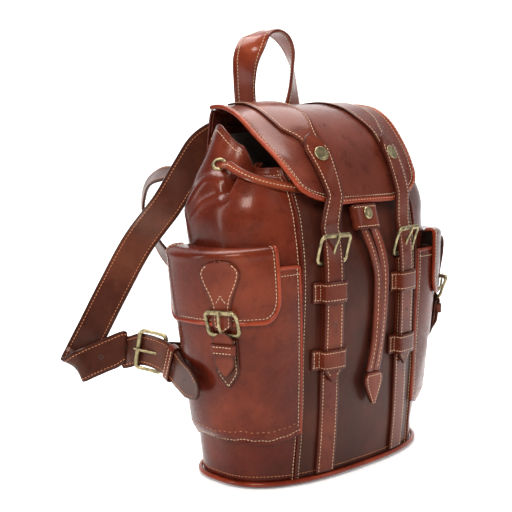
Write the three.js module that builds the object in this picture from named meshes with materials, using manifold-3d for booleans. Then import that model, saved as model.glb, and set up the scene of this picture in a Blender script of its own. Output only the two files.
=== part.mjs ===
// Leather backpack: a soft rucksack with a buckled flap, two side pockets and two shoulder straps.
// Millimetres. X is across the bag, the front faces -Y and +Z is up. The origin is the centre of
// the base, on the surface that the bag stands on.

import * as THREE from 'three';
import * as BufferGeometryUtils from 'three/addons/utils/BufferGeometryUtils.js';
import Module from 'manifold-3d';

const wasm = await Module();
wasm.setup();

// ---- Driving dimensions ----

const LEATHER = 2.2;          // thickness of the body panels
const STRAP_LEATHER = 2.8;    // thickness of the straps
const SKIN_GAP = 0.6;         // clearance between two pieces that lie on each other
const BASE_THICKNESS = 2.4;
const STIFFENER_THICKNESS = 1.4;
const WALL_BOTTOM = 3.0;
const FRONT_EXPONENT = 2.56;  // roundness of the front corners in plan

// The bag's section at a height: [height, half width, front depth, back depth, back exponent].
const BODY_ROWS = [
  [0, 126, 62, 63, 2.8],
  [50, 131, 66, 66, 2.8],
  [120, 133, 68, 67, 2.8],
  [200, 138, 68, 70, 2.8],
  [245, 142, 61, 72, 2.9],
  [262, 139, 55.5, 71, 3.1],
  [280, 128, 49, 68, 3.4],
  [300, 113, 42, 65, 3.8],
  [325, 101, 35, 61, 4.0],
  [345, 95, 30, 58, 4.0],
];

const MOUTH_HEIGHT = 306;     // height of the rim at the sides
const MOUTH_SLOPE = 24;       // how much higher the rim is at the back, and lower at the front

const EYELET_ANGLE = 176;      // the drawcord's left eyelet around the body, in degrees
const EYELET_DROP = 13;        // below the rim

const FRONT_SEAM_X = 84;      // the front seams' distance from the middle
const SEAM_BACK = 43;         // the back seams' angle above the X axis on each side, in degrees
const SEAM_GAP = 0.25;        // half the gap at a seam, in degrees

const FLAP_HALF_WIDTH = 86;
const FLAP_CORNER = 26;
const FLAP_LEATHER = 2.4;
const FLAP_HINGE = { y: 60.5, z: 345.5 };

// The flap's middle line and its two side edges, each as [y, z] from the hinge to the front.
const FLAP_MIDDLE = [
  [57, 346.6], [45, 348], [29, 349], [12, 347.5], [-8, 342], [-26, 331],
  [-40, 316], [-50, 300], [-57.5, 283], [-62.5, 268], [-64.5, 259.5],
];
const FLAP_LEFT = [
  [57, 345.6], [46, 346.6], [34, 344.5], [18, 337], [-2, 321.5], [-18, 309.5],
  [-31, 299.5], [-43, 289], [-53, 279.5], [-60, 272], [-64, 267],
];
const FLAP_RIGHT = [
  [57, 345.6], [45, 347.4], [29, 349], [12, 348.5], [-6, 344.5], [-22, 334],
  [-35, 319], [-46, 302], [-53, 287], [-57, 275], [-58.5, 267],
];

// The yoke behind the hinge, as [y, z] up its middle, and half its width.
const YOKE = [[68.2, 298], [67.2, 310], [65.6, 322], [64, 332], [62.6, 339], [60.8, 342.8]];
const YOKE_HALF_WIDTH = 84;

const STRAP_X = 53;           // the closing straps' distance from the middle, low on the front
const RIVET_X = 49;           // and at the rivets on the flap
const STRAP_WIDTH = 20.5;
const OVERLAY_WIDTH = 29;
const OVERLAY_END = 297;
const STRAP_TOP = 317;
const STRAP_TIP = 97;
const LOWER_STRAP_TOP = 201.5;
const RIVET_HEIGHT = 300;
const RIVET_RADIUS = 7.2;
const KEEPER_HEIGHTS = { upper: 179, lower: 117 };
const KEEPER_HEIGHT = 18;
const KEEPER_HALF_WIDTH = 21.8;
const KEEPER_LEATHER = 1.8;

const FRONT_BUCKLE = { width: 39, height: 30, bar: 4, thickness: 3 };
const POCKET_BUCKLE = { width: 33, height: 27, bar: 3.8, thickness: 3.2, arch: 4.6 };
const SHOULDER_BUCKLE = { width: 41, height: 30, bar: 4.2, thickness: 3.4, arch: 1.5 };
const SHOULDER_BUCKLE_TILT = 28;
const FRONT_BUCKLE_BAR = 205.5;  // height of the bar that a front buckle turns on
const FRONT_BUCKLE_LIFT = 2.5;   // that bar's middle above the front panel
const BUCKLE_TILT = 17;          // degrees, the top bar leaning out over the strap

const POCKET = { middle: 178, front: 58, back: 26, bulge: 25, low_bulge: 8, bottom: 47, top: 204 };
const POCKET_FLAP = { from: 163, to: 222, hinge_z: 222.5, bottom: 159, corner: 16 };
const FLAP_OVER_POCKET = 1.1;    // the gap between a pocket and its flap
const DEGREES_PER_MM = 0.42;     // around the body, at a pocket
const POCKET_STRAP_ANGLE = 195;  // the strap's place around the body, in degrees
const POCKET_STRAP_WIDTH = 18;
const POCKET_STRAP_TIP = 112;
const POCKET_BUCKLE_BAR = 149;
const POCKET_KEEPER_HEIGHT = 137;
const POCKET_BAR_LIFT = 4.2;     // the pocket buckle's bar above the pocket
const POCKET_STRAP_TOP = 212;
const LOWER_STRAP_TIP = 102;      // the backing strap under the pocket's strap

const SHOULDER_WIDTH = 28.6;
const SHOULDER_THICKNESS = 3;
const HANDLE_WIDTH = 25.6;
const HANDLE_THICKNESS = 4;
const LACE_WIDTH = 8.6;
const TOGGLE_X = -6;

// ---- Leathers and metals ----

const leather = (color) => new THREE.MeshStandardMaterial({ color, roughness: 0.38, metalness: 0 });
const DARK = leather(0x4a1c14);
const BROWN = leather(0x6b2a1c);
const RED = leather(0x8a3420);
const SUEDE = new THREE.MeshStandardMaterial({ color: 0xa98a63, roughness: 0.95, metalness: 0 });
const BOARD = new THREE.MeshStandardMaterial({ color: 0x6f5a42, roughness: 0.9, metalness: 0 });
const BRASS = new THREE.MeshStandardMaterial({ color: 0x9b8a55, roughness: 0.35, metalness: 1 });

const bag = new THREE.Group();

function addPiece(name, geometry, material) {
  const mesh = new THREE.Mesh(geometry, material);
  mesh.name = name;
  bag.add(mesh);
  return mesh;
}

// ---- Numbers and curves ----

const radians = THREE.MathUtils.degToRad;
const vec = (x, y, z) => new THREE.Vector3(x, y, z);
const steps = (n, from = 0, to = 1) => Array.from({ length: n + 1 }, (_, i) => from + ((to - from) * i) / n);
const smooth = (x, low, high) => THREE.MathUtils.smoothstep(x, low, high);

// A smooth value from rows that start with their position, read at x in the given column.
function readRows(rows, x, column) {
  const last = rows.length - 1;
  let i = 0;
  while (i < last - 1 && rows[i + 1][0] < x) i += 1;
  const slope = (k) => {
    const a = rows[Math.max(k - 1, 0)];
    const b = rows[Math.min(k + 1, last)];
    return (b[column] - a[column]) / (b[0] - a[0]);
  };
  const [a, b] = [rows[i], rows[i + 1]];
  const width = b[0] - a[0];
  const t = THREE.MathUtils.clamp((x - a[0]) / width, 0, 1);
  const rise = (b[column] - a[column]);
  const [m0, m1] = [slope(i) * width, slope(i + 1) * width];
  return a[column] + m0 * t + (3 * rise - 2 * m0 - m1) * t * t + (m0 + m1 - 2 * rise) * t * t * t;
}

// ---- Solids ----

function geometryFrom(points, faces) {
  const geometry = new THREE.BufferGeometry();
  const position = new Float32Array(points.flatMap((p) => [p.x, p.y, p.z]));
  geometry.setAttribute('position', new THREE.BufferAttribute(position, 3));
  let volume = 0;
  for (let i = 0; i < faces.length; i += 3) {
    const [a, b, c] = [points[faces[i]], points[faces[i + 1]], points[faces[i + 2]]];
    volume += a.dot(b.clone().cross(c));
  }
  const outward = volume > 0 ? faces : faces.toReversed();
  geometry.setIndex(outward);
  geometry.computeVertexNormals();
  return geometry;
}

// Unit normals of a grid of points, by the differences of each point's neighbours.
function gridNormals(grid) {
  const rows = grid.length - 1;
  const columns = grid[0].length - 1;
  return grid.map((line, i) => line.map((_, j) => {
    const along = grid[Math.min(i + 1, rows)][j].clone().sub(grid[Math.max(i - 1, 0)][j]);
    const across = grid[i][Math.min(j + 1, columns)].clone().sub(grid[i][Math.max(j - 1, 0)]);
    return along.cross(across).normalize();
  }));
}

// A piece of leather: a grid of points on its middle surface, with half its thickness each way.
function sheet(grid, thickness) {
  const rows = grid.length - 1;
  const columns = grid[0].length - 1;
  const normals = gridNormals(grid);
  const points = [];
  for (const side of [0.5, -0.5]) {
    grid.forEach((line, i) => line.forEach((p, j) => {
      points.push(p.clone().addScaledVector(normals[i][j], side * thickness));
    }));
  }
  const half = (rows + 1) * (columns + 1);
  const at = (i, j) => i * (columns + 1) + j;
  const faces = [];
  const quad = (a, b, c, d) => faces.push(a, b, c, a, c, d);
  for (let i = 0; i < rows; i += 1) {
    for (let j = 0; j < columns; j += 1) {
      const [a, b, c, d] = [at(i, j), at(i + 1, j), at(i + 1, j + 1), at(i, j + 1)];
      quad(a, b, c, d);
      quad(half + a, half + d, half + c, half + b);
    }
    const [a, b, c, d] = [at(i, 0), at(i + 1, 0), at(i + 1, columns), at(i, columns)];
    quad(b, a, half + a, half + b);
    quad(d, c, half + c, half + d);
  }
  for (let j = 0; j < columns; j += 1) {
    const [a, d, b, c] = [at(0, j), at(0, j + 1), at(rows, j), at(rows, j + 1)];
    quad(a, d, half + d, half + a);
    quad(c, b, half + b, half + c);
  }
  return geometryFrom(points, faces);
}

// A skin through rings of points. It closes on itself, or ends in a fan at each end.
function loft(rings, closed) {
  const n = rings[0].length;
  const points = rings.flat();
  const faces = [];
  const bands = closed ? rings.length : rings.length - 1;
  for (let i = 0; i < bands; i += 1) {
    const next = (i + 1) % rings.length;
    for (let j = 0; j < n; j += 1) {
      const k = (j + 1) % n;
      faces.push(i * n + j, next * n + j, next * n + k, i * n + j, next * n + k, i * n + k);
    }
  }
  if (!closed) {
    for (const [ring, turned] of [[0, false], [rings.length - 1, true]]) {
      const middle = rings[ring].reduce((sum, p) => sum.add(p), vec(0, 0, 0)).divideScalar(n);
      points.push(middle);
      for (let j = 0; j < n; j += 1) {
        const [a, b] = [ring * n + j, ring * n + ((j + 1) % n)];
        faces.push(points.length - 1, turned ? b : a, turned ? a : b);
      }
    }
  }
  return geometryFrom(points, faces);
}

// The same outline through a path of centres, with across and up given at each.
function sweep(frames, section, closed = false) {
  return loft(frames.map(({ at, across, up }) => section.map(([a, b]) => (
    at.clone().addScaledVector(across, a).addScaledVector(up, b)))), closed);
}

const disc = (radius, sides) => steps(sides - 1, 0, 1 - 1 / sides).map((t) => [
  radius * Math.cos(2 * Math.PI * t), radius * Math.sin(2 * Math.PI * t)]);

// A round bar along a smooth curve.
function rod(points, radius, segments, sides = 8) {
  const curve = new THREE.CatmullRomCurve3(points, false, 'centripetal');
  const shape = new THREE.Shape(disc(radius, sides).map(([a, b]) => new THREE.Vector2(a, b)));
  return new THREE.ExtrudeGeometry(shape, { steps: segments, extrudePath: curve, bevelEnabled: false });
}

// A strap: places down its middle, each with its width direction, width and point.
function strap(places, thickness, columns = 2) {
  return sheet(places.map(({ at, across, width }) => steps(columns, -0.5, 0.5).map((w) => (
    at.clone().addScaledVector(across, w * width)))), thickness);
}

const toSolid = (geometry) => {
  const bare = geometry.clone();
  bare.deleteAttribute('normal');
  bare.deleteAttribute('uv');
  const merged = BufferGeometryUtils.mergeVertices(bare, 1e-4);
  return new wasm.Manifold(new wasm.Mesh({
    numProp: 3,
    vertProperties: new Float32Array(merged.attributes.position.array),
    triVerts: new Uint32Array(merged.index.array),
  }));
};

const fromSolid = (solid) => {
  const { vertProperties, triVerts } = solid.getMesh();
  const geometry = new THREE.BufferGeometry();
  geometry.setAttribute('position', new THREE.BufferAttribute(vertProperties, 3));
  geometry.setIndex(new THREE.BufferAttribute(triVerts, 1));
  geometry.computeVertexNormals();
  return geometry;
};

// The leather with its holes cut by closed shapes.
function punched(geometry, cutters) {
  return fromSolid(cutters.reduce((solid, cutter) => solid.subtract(toSolid(cutter)), toSolid(geometry)));
}

// ---- The body's surface ----

const row = (z) => ({
  halfWidth: readRows(BODY_ROWS, z, 1),
  front: readRows(BODY_ROWS, z, 2),
  back: readRows(BODY_ROWS, z, 3),
  backExponent: readRows(BODY_ROWS, z, 4),
});

// The point at an angle in degrees and a height, moved out from the leather's face.
function onBody(degrees, z, out = 0) {
  const { halfWidth, front, back, backExponent } = row(z);
  const [c, s] = [Math.cos(radians(degrees)), Math.sin(radians(degrees))];
  const [depth, n] = s < 0 ? [front, FRONT_EXPONENT] : [back, backExponent];
  const x = halfWidth * Math.sign(c) * Math.abs(c) ** (2 / n);
  const y = depth * Math.sign(s) * Math.abs(s) ** (2 / n);
  if (out === 0) return vec(x, y, z);
  const around = onBody(degrees + 0.5, z).sub(onBody(degrees - 0.5, z));
  const rising = onBody(degrees, z + 1).sub(onBody(degrees, z - 1));
  return vec(x, y, z).addScaledVector(around.cross(rising).normalize(), out);
}

// The angle around the body of a place on the front, by its distance from the middle.
function frontAngle(x, z) {
  const angle = THREE.MathUtils.radToDeg(
    Math.acos(Math.min(Math.abs(x / row(z).halfWidth), 1) ** (FRONT_EXPONENT / 2)),
  );
  return x < 0 ? 180 + angle : 360 - angle;
}

const onFront = (x, z, out = 0) => onBody(frontAngle(x, z), z, out);
const seamAngle = (z) => frontAngle(-Math.min(FRONT_SEAM_X, 0.72 * row(z).halfWidth), z);

const mouthAt = (degrees) => MOUTH_HEIGHT + MOUTH_SLOPE * Math.sin(radians(degrees));

// A wall panel between two angles, each a function of the height.
function bodyPanel(from, to, columns) {
  const rows = steps(12).map((v) => 1 - (1 - v) ** 1.25);
  return sheet(rows.map((v) => steps(columns).map((w) => {
    const seams = (z) => THREE.MathUtils.lerp(from(z), to(z), w);
    const rim = mouthAt(seams(MOUTH_HEIGHT));
    const z = WALL_BOTTOM + v * (rim - WALL_BOTTOM);
    return onBody(seams(z), z, -LEATHER / 2);
  })), LEATHER);
}

function outline(z, out, count) {
  return new THREE.Shape(steps(count - 1, 0, 360 - 360 / count).map((t) => {
    const p = onBody(t, z, out);
    return new THREE.Vector2(p.x, p.y);
  }));
}

function plate(out, bottom, thickness, count) {
  const geometry = new THREE.ExtrudeGeometry(outline(0, out, count), { depth: thickness, bevelEnabled: false });
  return geometry.translate(0, 0, bottom);
}

function addBody() {
  addPiece('base_panel', plate(-0.2, 0, BASE_THICKNESS, 48), DARK);
  addPiece('base_stiffener', plate(-3.2, BASE_THICKNESS + 0.4, STIFFENER_THICKNESS, 32), BOARD);
  const [seam, gap, back] = [seamAngle, SEAM_GAP, SEAM_BACK];
  addPiece('front_panel', bodyPanel((z) => seam(z) + gap, (z) => 540 - seam(z) - gap, 12), DARK);
  addPiece('back_panel', bodyPanel(() => back + gap, () => 180 - back - gap, 8), BROWN);
  addPiece('side_panel_left', bodyPanel(() => 180 - back + gap, (z) => seam(z) - gap, 10), BROWN);
  addPiece('side_panel_right', bodyPanel((z) => 180 - seam(z) + gap, () => back - gap, 10), BROWN);

  const piping = steps(47, 0, 360 - 7.5).map((t) => {
    const at = onBody(t, 5, 2.9);
    return { at, across: at.clone().sub(onBody(t, 5)).normalize(), up: vec(0, 0, 1) };
  });
  addPiece('base_piping', sweep(piping, disc(2.2, 6), true), RED);

  const ring = (out, height) => steps(35, 0, 350).map((t) => onBody(t, height(t), out));
  const [floor, outer, inner] = [BASE_THICKNESS + STIFFENER_THICKNESS + 0.9, -3.8, -4.8];
  const heights = steps(7).map((v) => (t) => floor + v * (mouthAt(t) - 8 - floor));
  addPiece('lining', loft([
    ring(outer - 55, () => floor),
    ...heights.map((height) => ring(outer, height)),
    ...heights.slice(1).reverse().map((height) => ring(inner, height)),
    ring(inner, () => floor + 1),
    ring(inner - 55, () => floor + 1),
  ], false), SUEDE);

  addPiece('inner_pocket', sheet(steps(4, 120, 235).map((z) => steps(8, 62, 118).map((t) => (
    onBody(t, z, -6.4)))), 1.2), SUEDE);

  const cord = steps(18, EYELET_ANGLE + 5, 355 - (EYELET_ANGLE - 180)).map((t) => onBody(t, mouthAt(t) - 13, 2.8));
  addPiece('neck_drawcord', rod(cord, 1.9, 44, 6), RED);
  for (const [side, t] of [['left', EYELET_ANGLE], ['right', 180 - EYELET_ANGLE]]) {
    const profile = [[3.2, 0], [6.2, 0], [6.2, 0.5], [4.7, 1.1], [3.2, 0.5], [3.2, 0]];
    const eyelet = new THREE.LatheGeometry(profile.map(([r, h]) => new THREE.Vector2(r, h)), 16);
    const at = onBody(t, mouthAt(t) - EYELET_DROP, SKIN_GAP + 0.3);
    const out = onBody(t, at.z, 2).sub(onBody(t, at.z)).normalize();
    eyelet.rotateX(Math.PI / 2);
    eyelet.lookAt(out);
    addPiece(`eyelet_${side}`, eyelet.translate(at.x, at.y, at.z), BRASS);
  }
}

// ---- The flap ----

const curveOf = (list) => new THREE.SplineCurve(list.map(([y, z]) => new THREE.Vector2(y, z)));
const FLAP_CURVES = { middle: curveOf(FLAP_MIDDLE), left: curveOf(FLAP_LEFT), right: curveOf(FLAP_RIGHT) };

// The flap's middle surface at s from the hinge (0) to the front edge (1).
function flapAt(s, x) {
  const middle = FLAP_CURVES.middle.getPoint(s);
  const edge = (x < 0 ? FLAP_CURVES.left : FLAP_CURVES.right).getPoint(s);
  const p = middle.lerp(edge, smooth(Math.abs(x), 34, FLAP_HALF_WIDTH));
  return vec(x, p.x, p.y);
}

function onFlap(s, x, out) {
  const along = flapAt(Math.min(s + 0.01, 1), x).sub(flapAt(Math.max(s - 0.01, 0), x));
  const across = flapAt(s, x + 1).sub(flapAt(s, x - 1));
  return flapAt(s, x).addScaledVector(across.cross(along).normalize(), -out);
}

// Where on the flap's length a height is, forward of the top.
function flapLength(x, z) {
  let [low, high] = [0.3, 1];
  for (let i = 0; i < 30; i += 1) {
    const middle = (low + high) / 2;
    [low, high] = flapAt(middle, x).z > z ? [middle, high] : [low, middle];
  }
  return low;
}

function flapHalfWidth(s) {
  const left = (1 - s) * 135;
  const cut = Math.max(0, FLAP_CORNER - left);
  return FLAP_HALF_WIDTH - FLAP_CORNER + Math.sqrt(FLAP_CORNER ** 2 - cut ** 2 * 0.98);
}

function addFlap() {
  const lengths = [...steps(12, 0, 0.8), 0.84, 0.88, 0.92, 0.95, 0.975, 0.99, 1];
  addPiece('main_flap', sheet(lengths.map((s) => steps(14, -1, 1).map((w) => (
    flapAt(s, w * flapHalfWidth(s))))), FLAP_LEATHER), BROWN);

  addPiece('flap_yoke', sheet(YOKE.map(([y, z]) => steps(8, -YOKE_HALF_WIDTH, YOKE_HALF_WIDTH).map((x) => (
    vec(x, y - 4 * Math.abs(x / YOKE_HALF_WIDTH) ** 5, z)))), FLAP_LEATHER), BROWN);

  for (const [side, sign] of [['left', -1], ['right', 1]]) {
    const end = flapLength(sign * RIVET_X, OVERLAY_END);
    const overlay = FLAP_LEATHER / 2 + SKIN_GAP + 1.1;
    addPiece(`flap_overlay_${side}`, sheet(steps(14, 0.02, end).map((s) => steps(2, -0.5, 0.5).map((w) => (
      onFlap(s, sign * RIVET_X + w * OVERLAY_WIDTH, overlay)))), 1.8), RED);

    const rivet = onFlap(flapLength(sign * RIVET_X, RIVET_HEIGHT), sign * RIVET_X, 0);
    const raised = onFlap(flapLength(sign * RIVET_X, RIVET_HEIGHT), sign * RIVET_X, 1);
    const out = raised.sub(rivet).normalize();
    addPiece(`flap_rivet_${side}`, rivetHead(rivet.addScaledVector(out, CLOSING_LIFT + 2.1), out, RIVET_RADIUS), BRASS);
    addPiece(`closing_strap_${side}`, closingStrap(sign, tongueSlot(frontBuckle(sign))), RED);
  }
}

const CLOSING_LIFT = FLAP_LEATHER / 2 + SKIN_GAP + 2 + SKIN_GAP + STRAP_LEATHER / 2;
const CLOSING_OUT = 6.4;      // the closing strap's middle above the front panel

function rivetHead(at, out, radius) {
  const profile = [[0, 0], [radius, 0], [radius, 0.7], [radius * 0.75, 1.4], [0, 1.7]];
  const head = new THREE.LatheGeometry(profile.map(([r, h]) => new THREE.Vector2(r, h)), 20);
  head.rotateX(Math.PI / 2);
  head.lookAt(out);
  return head.translate(at.x, at.y, at.z);
}

// The closing strap runs from its point on the flap, over the flap's edge and down the front.
function closingStrap(sign, slot) {
  const upper = steps(7, STRAP_TOP, 264).map((z) => {
    const x = sign * (RIVET_X + (STRAP_TOP - z) * 0.03);
    const width = STRAP_WIDTH * Math.min(1, 0.3 + (STRAP_TOP - z) / 9);
    return steps(2, -0.5, 0.5).map((w) => onFlap(flapLength(x, z), x + w * width, CLOSING_LIFT));
  });
  const lower = [...steps(10, 238, STRAP_TIP + 12), STRAP_TIP + 4, STRAP_TIP].map((z) => {
    const width = STRAP_WIDTH * Math.min(1, 0.12 + (z - STRAP_TIP) / 12);
    return steps(2, -0.5, 0.5).map((w) => onFront(sign * STRAP_X + w * width, z, CLOSING_OUT));
  });
  const round = [241, 197, 150].map((z) => {
    const hole = new THREE.CylinderGeometry(1.6, 1.6, 14, 8).rotateZ(radians(22.5));
    const at = onFront(sign * STRAP_X, z, CLOSING_OUT);
    return hole.translate(at.x, at.y, at.z);
  });
  return punched(sheet([...upper, ...lower], STRAP_LEATHER), [slot, ...round]);
}

// ---- Buckles ----

// A buckle in its own frame: the bar it turns on lies on X at the origin, and the frame stands up
// along +Y with its face to +Z.
function buckleFrame({ width, height, bar, thickness }) {
  const rounded = (path, w, low, high, r) => {
    path.moveTo(-w / 2 + r, low);
    path.lineTo(w / 2 - r, low);
    path.absarc(w / 2 - r, low + r, r, -Math.PI / 2, 0);
    path.absarc(w / 2 - r, high - r, r, 0, Math.PI / 2);
    path.absarc(-w / 2 + r, high - r, r, Math.PI / 2, Math.PI);
    path.absarc(-w / 2 + r, low + r, r, Math.PI, 1.5 * Math.PI);
    return path;
  };
  const shape = rounded(new THREE.Shape(), width, -bar / 2, height - bar / 2, 5);
  shape.holes.push(rounded(new THREE.Path(), width - 2 * bar, bar / 2, height - 1.5 * bar, 2));
  const frame = new THREE.ExtrudeGeometry(shape, { depth: thickness, bevelEnabled: false, curveSegments: 3 });
  return frame.translate(0, 0, -thickness / 2);
}

// The tongue starts above the bar, goes through the strap's slot and rests on the far bar.
function buckleTongue({ height, bar, arch = 0 }) {
  const far = height - bar;
  const route = [
    [3.6, 0.2], [0.3 * far, 1.2 + 0.8 * arch], [0.6 * far, 2.6 + arch], [0.84 * far, 3.5 + 0.3 * arch], [far + 3, 3.5],
  ];
  return rod(route.map(([y, z]) => vec(0, y, z)), 1.2, 5, 6);
}

// Puts a buckle's solid at its bar, standing along up with its face out.
function placed(geometry, { at, up, out }) {
  const side = up.clone().cross(out).normalize();
  const basis = new THREE.Matrix4().makeBasis(side, up.clone().normalize(), side.clone().cross(up).normalize());
  return geometry.applyMatrix4(basis.setPosition(at));
}

// The same place, leaning its top out by some degrees.
function tilted({ at, up, out }, degrees) {
  const side = up.clone().cross(out).normalize();
  const [leaningUp, leaningOut] = [up, out].map((v) => v.clone().applyAxisAngle(side, radians(degrees)));
  return { at, up: leaningUp, out: leaningOut };
}

// The slot that the tongue needs in the strap.
const tongueSlot = (place) => placed(new THREE.BoxGeometry(4.4, 19, 14).translate(0, 6.9, 1), place);

function addBuckle(name, size, place) {
  addPiece(`${name}_buckle`, placed(buckleFrame(size), place), BRASS);
  addPiece(`${name}_prong`, placed(buckleTongue(size), place), BRASS);
}

function frontBuckle(sign) {
  const at = onFront(sign * STRAP_X, FRONT_BUCKLE_BAR, FRONT_BUCKLE_LIFT);
  const out = at.clone().sub(onFront(sign * STRAP_X, FRONT_BUCKLE_BAR)).normalize();
  return tilted({ at, up: vec(0, 0, 1), out }, BUCKLE_TILT);
}

// ---- The front ----

// A loop sewn to the front at both ends, standing over the straps.
function keeper(centreOf, halfWidth, height, raised) {
  const profile = [
    [-1, 1.6], [-0.67, 1.6], [-0.6, 3.6], [-0.57, raised - 1.6], [-0.5, raised],
    [0.5, raised], [0.57, raised - 1.6], [0.6, 3.6], [0.67, 1.6], [1, 1.6],
  ];
  return sheet(profile.map(([w, out]) => steps(2, -0.5, 0.5).map((v) => (
    centreOf(w * halfWidth, v * height, out)))), KEEPER_LEATHER);
}

function addFront() {
  for (const [side, sign] of [['left', -1], ['right', 1]]) {
    const x = sign * STRAP_X;
    addPiece(`front_strap_${side}`, sheet(steps(9, 9, LOWER_STRAP_TOP).map((z) => (
      steps(2, -0.5, 0.5).map((w) => onFront(x + w * STRAP_WIDTH, z, SKIN_GAP + 1.3)))), 2.4), RED);
    for (const [level, z] of Object.entries(KEEPER_HEIGHTS)) {
      addPiece(`${level}_keeper_${side}`, keeper(
        (dx, dz, out) => onFront(x + dx, z + dz, out),
        KEEPER_HALF_WIDTH, KEEPER_HEIGHT, CLOSING_OUT + STRAP_LEATHER / 2 + 1 + KEEPER_LEATHER / 2,
      ), RED);
    }
    addBuckle(`front_${side}`, FRONT_BUCKLE, frontBuckle(sign));
  }
}

// ---- The drawcord's hanging ends ----

const LACE_PATHS = {
  left: [
    [-12, -57.4, 266], [-12, -59.6, 260], [-12, -64.2, 253.5], [-11.5, -68.4, 240], [-8, -71, 229],
    [0, -73, 212], [8.2, -73, 190], [9.4, -72.8, 165], [8, -72.8, 140], [4.5, -73, 118], [-2.5, -73.4, 97],
  ],
  right: [
    [0, -57.4, 266], [0, -59.6, 260], [0.4, -64.2, 253.5], [2, -68.4, 240], [6.5, -71, 229],
    [13, -73, 212], [19, -73, 190], [19.2, -72.8, 165], [17.4, -72.8, 140], [13.7, -73, 118], [7, -73.4, 97],
  ],
};

function addDrawcord() {
  for (const [side, route] of Object.entries(LACE_PATHS)) {
    const curve = new THREE.CatmullRomCurve3(route.map(([x, y, z]) => vec(x, y, z)), false, 'centripetal');
    addPiece(`drawcord_end_${side}`, strap(steps(24).map((t) => ({
      at: curve.getPointAt(t), across: vec(1, 0, 0), width: LACE_WIDTH,
    })), 2.4, 1), RED);
  }

  const band = steps(23, 0, 345).map((t) => {
    const [c, s] = [Math.cos(radians(t)), Math.sin(radians(t))];
    const at = vec(16.4 * Math.sign(c) * Math.abs(c) ** 0.5, 4.1 * Math.sign(s) * Math.abs(s) ** 0.7, 0);
    return { at, across: vec(c * 0.35, s, 0).normalize(), up: vec(0, 0, 1) };
  });
  const toggle = sweep(band, [[1, -11], [1, 11], [-1, 11], [-1, -11]], true);
  const rivet = rivetHead(vec(0, -5.6, 3), vec(0, -1, 0), 5.8);
  for (const [name, piece, material] of [['cord_toggle', toggle, RED], ['toggle_rivet', rivet, BRASS]]) {
    piece.rotateX(radians(-16));
    addPiece(name, piece.translate(TOGGLE_X, -67.4, 244), material);
  }

  const tab = [[95.5, 8], [92, 12.5], [86, 12], [78, 8.5], [71, 4.5], [66, 1.2]];
  addPiece('cord_end_tab', strap(tab.map(([z, half]) => ({
    at: vec(2.2, -73.4, z), across: vec(1, 0, 0), width: 2 * half,
  })), 4.6), RED);
}

// ---- Side pockets ----

// A solid turned over to the other side of the bag.
function mirrored(geometry) {
  const turned = geometry.index ? geometry.toNonIndexed() : geometry.clone();
  const position = turned.getAttribute('position');
  for (let i = 0; i < position.count; i += 3) {
    const corners = [0, 2, 1].map((k) => vec().fromBufferAttribute(position, i + k));
    corners.forEach(({ x, y, z }, k) => position.setXYZ(i + k, -x, y, z));
  }
  return BufferGeometryUtils.mergeVertices(turned.deleteAttribute('normal').deleteAttribute('uv'));
}

// Points of the left pocket's and its flap's middle surfaces; the right ones are mirrored.
function onPocket(degrees, z, out = 0) {
  const away = degrees - POCKET.middle;
  const w = Math.min(1, away > 0 ? away / POCKET.front : -away / POCKET.back);
  const round = Math.sqrt(Math.max(0, 1 - Math.max(0, 1 - (z - POCKET.bottom) / 12) ** 2));
  const full = Math.min(1, (z - POCKET.bottom) / (POCKET.top - POCKET.bottom));
  const bulge = THREE.MathUtils.lerp(POCKET.low_bulge, POCKET.bulge, Math.sin((full * Math.PI) / 2));
  const fall = 1 - w ** (away > 0 ? 1.4 : 2.2);
  return onBody(degrees, z, SKIN_GAP + LEATHER / 2 + bulge * fall * round + out);
}

function onPocketFlap(degrees, z, out = 0) {
  const pocket = onPocket(degrees, Math.min(z, POCKET.top));
  const body = onBody(degrees, Math.min(z, POCKET.top));
  return onBody(degrees, z, pocket.distanceTo(body) + LEATHER + FLAP_OVER_POCKET + out);
}

// The left pocket's flap: a short lid from the wall, then a skirt with two round lower corners.
function pocketFlap() {
  const { from, to, hinge_z: top, bottom, corner } = POCKET_FLAP;
  const inset = (z) => corner - Math.sqrt(corner ** 2 - Math.max(0, bottom + corner - z) ** 2);
  const line = (z, pointOf) => {
    const trimmed = Math.min(inset(z), corner - 2) * DEGREES_PER_MM;
    return steps(12, from + trimmed, to - trimmed).map(pointOf);
  };
  const lid = [[0, -1.2], [0.4, 0.2], [0.8, 0], [1, -3]];
  const skirt = [...steps(5, top - 10, bottom + corner), bottom + 8, bottom + 3.4, bottom + 1, bottom];
  return sheet([
    ...lid.map(([part, rise]) => line(top, (t) => {
      const start = onBody(t, top + rise, LEATHER / 2 + SKIN_GAP);
      return start.lerp(onPocketFlap(t, top + rise), part);
    })),
    ...skirt.map((z) => line(z, (t) => onPocketFlap(t, z))),
  ], LEATHER);
}

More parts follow.
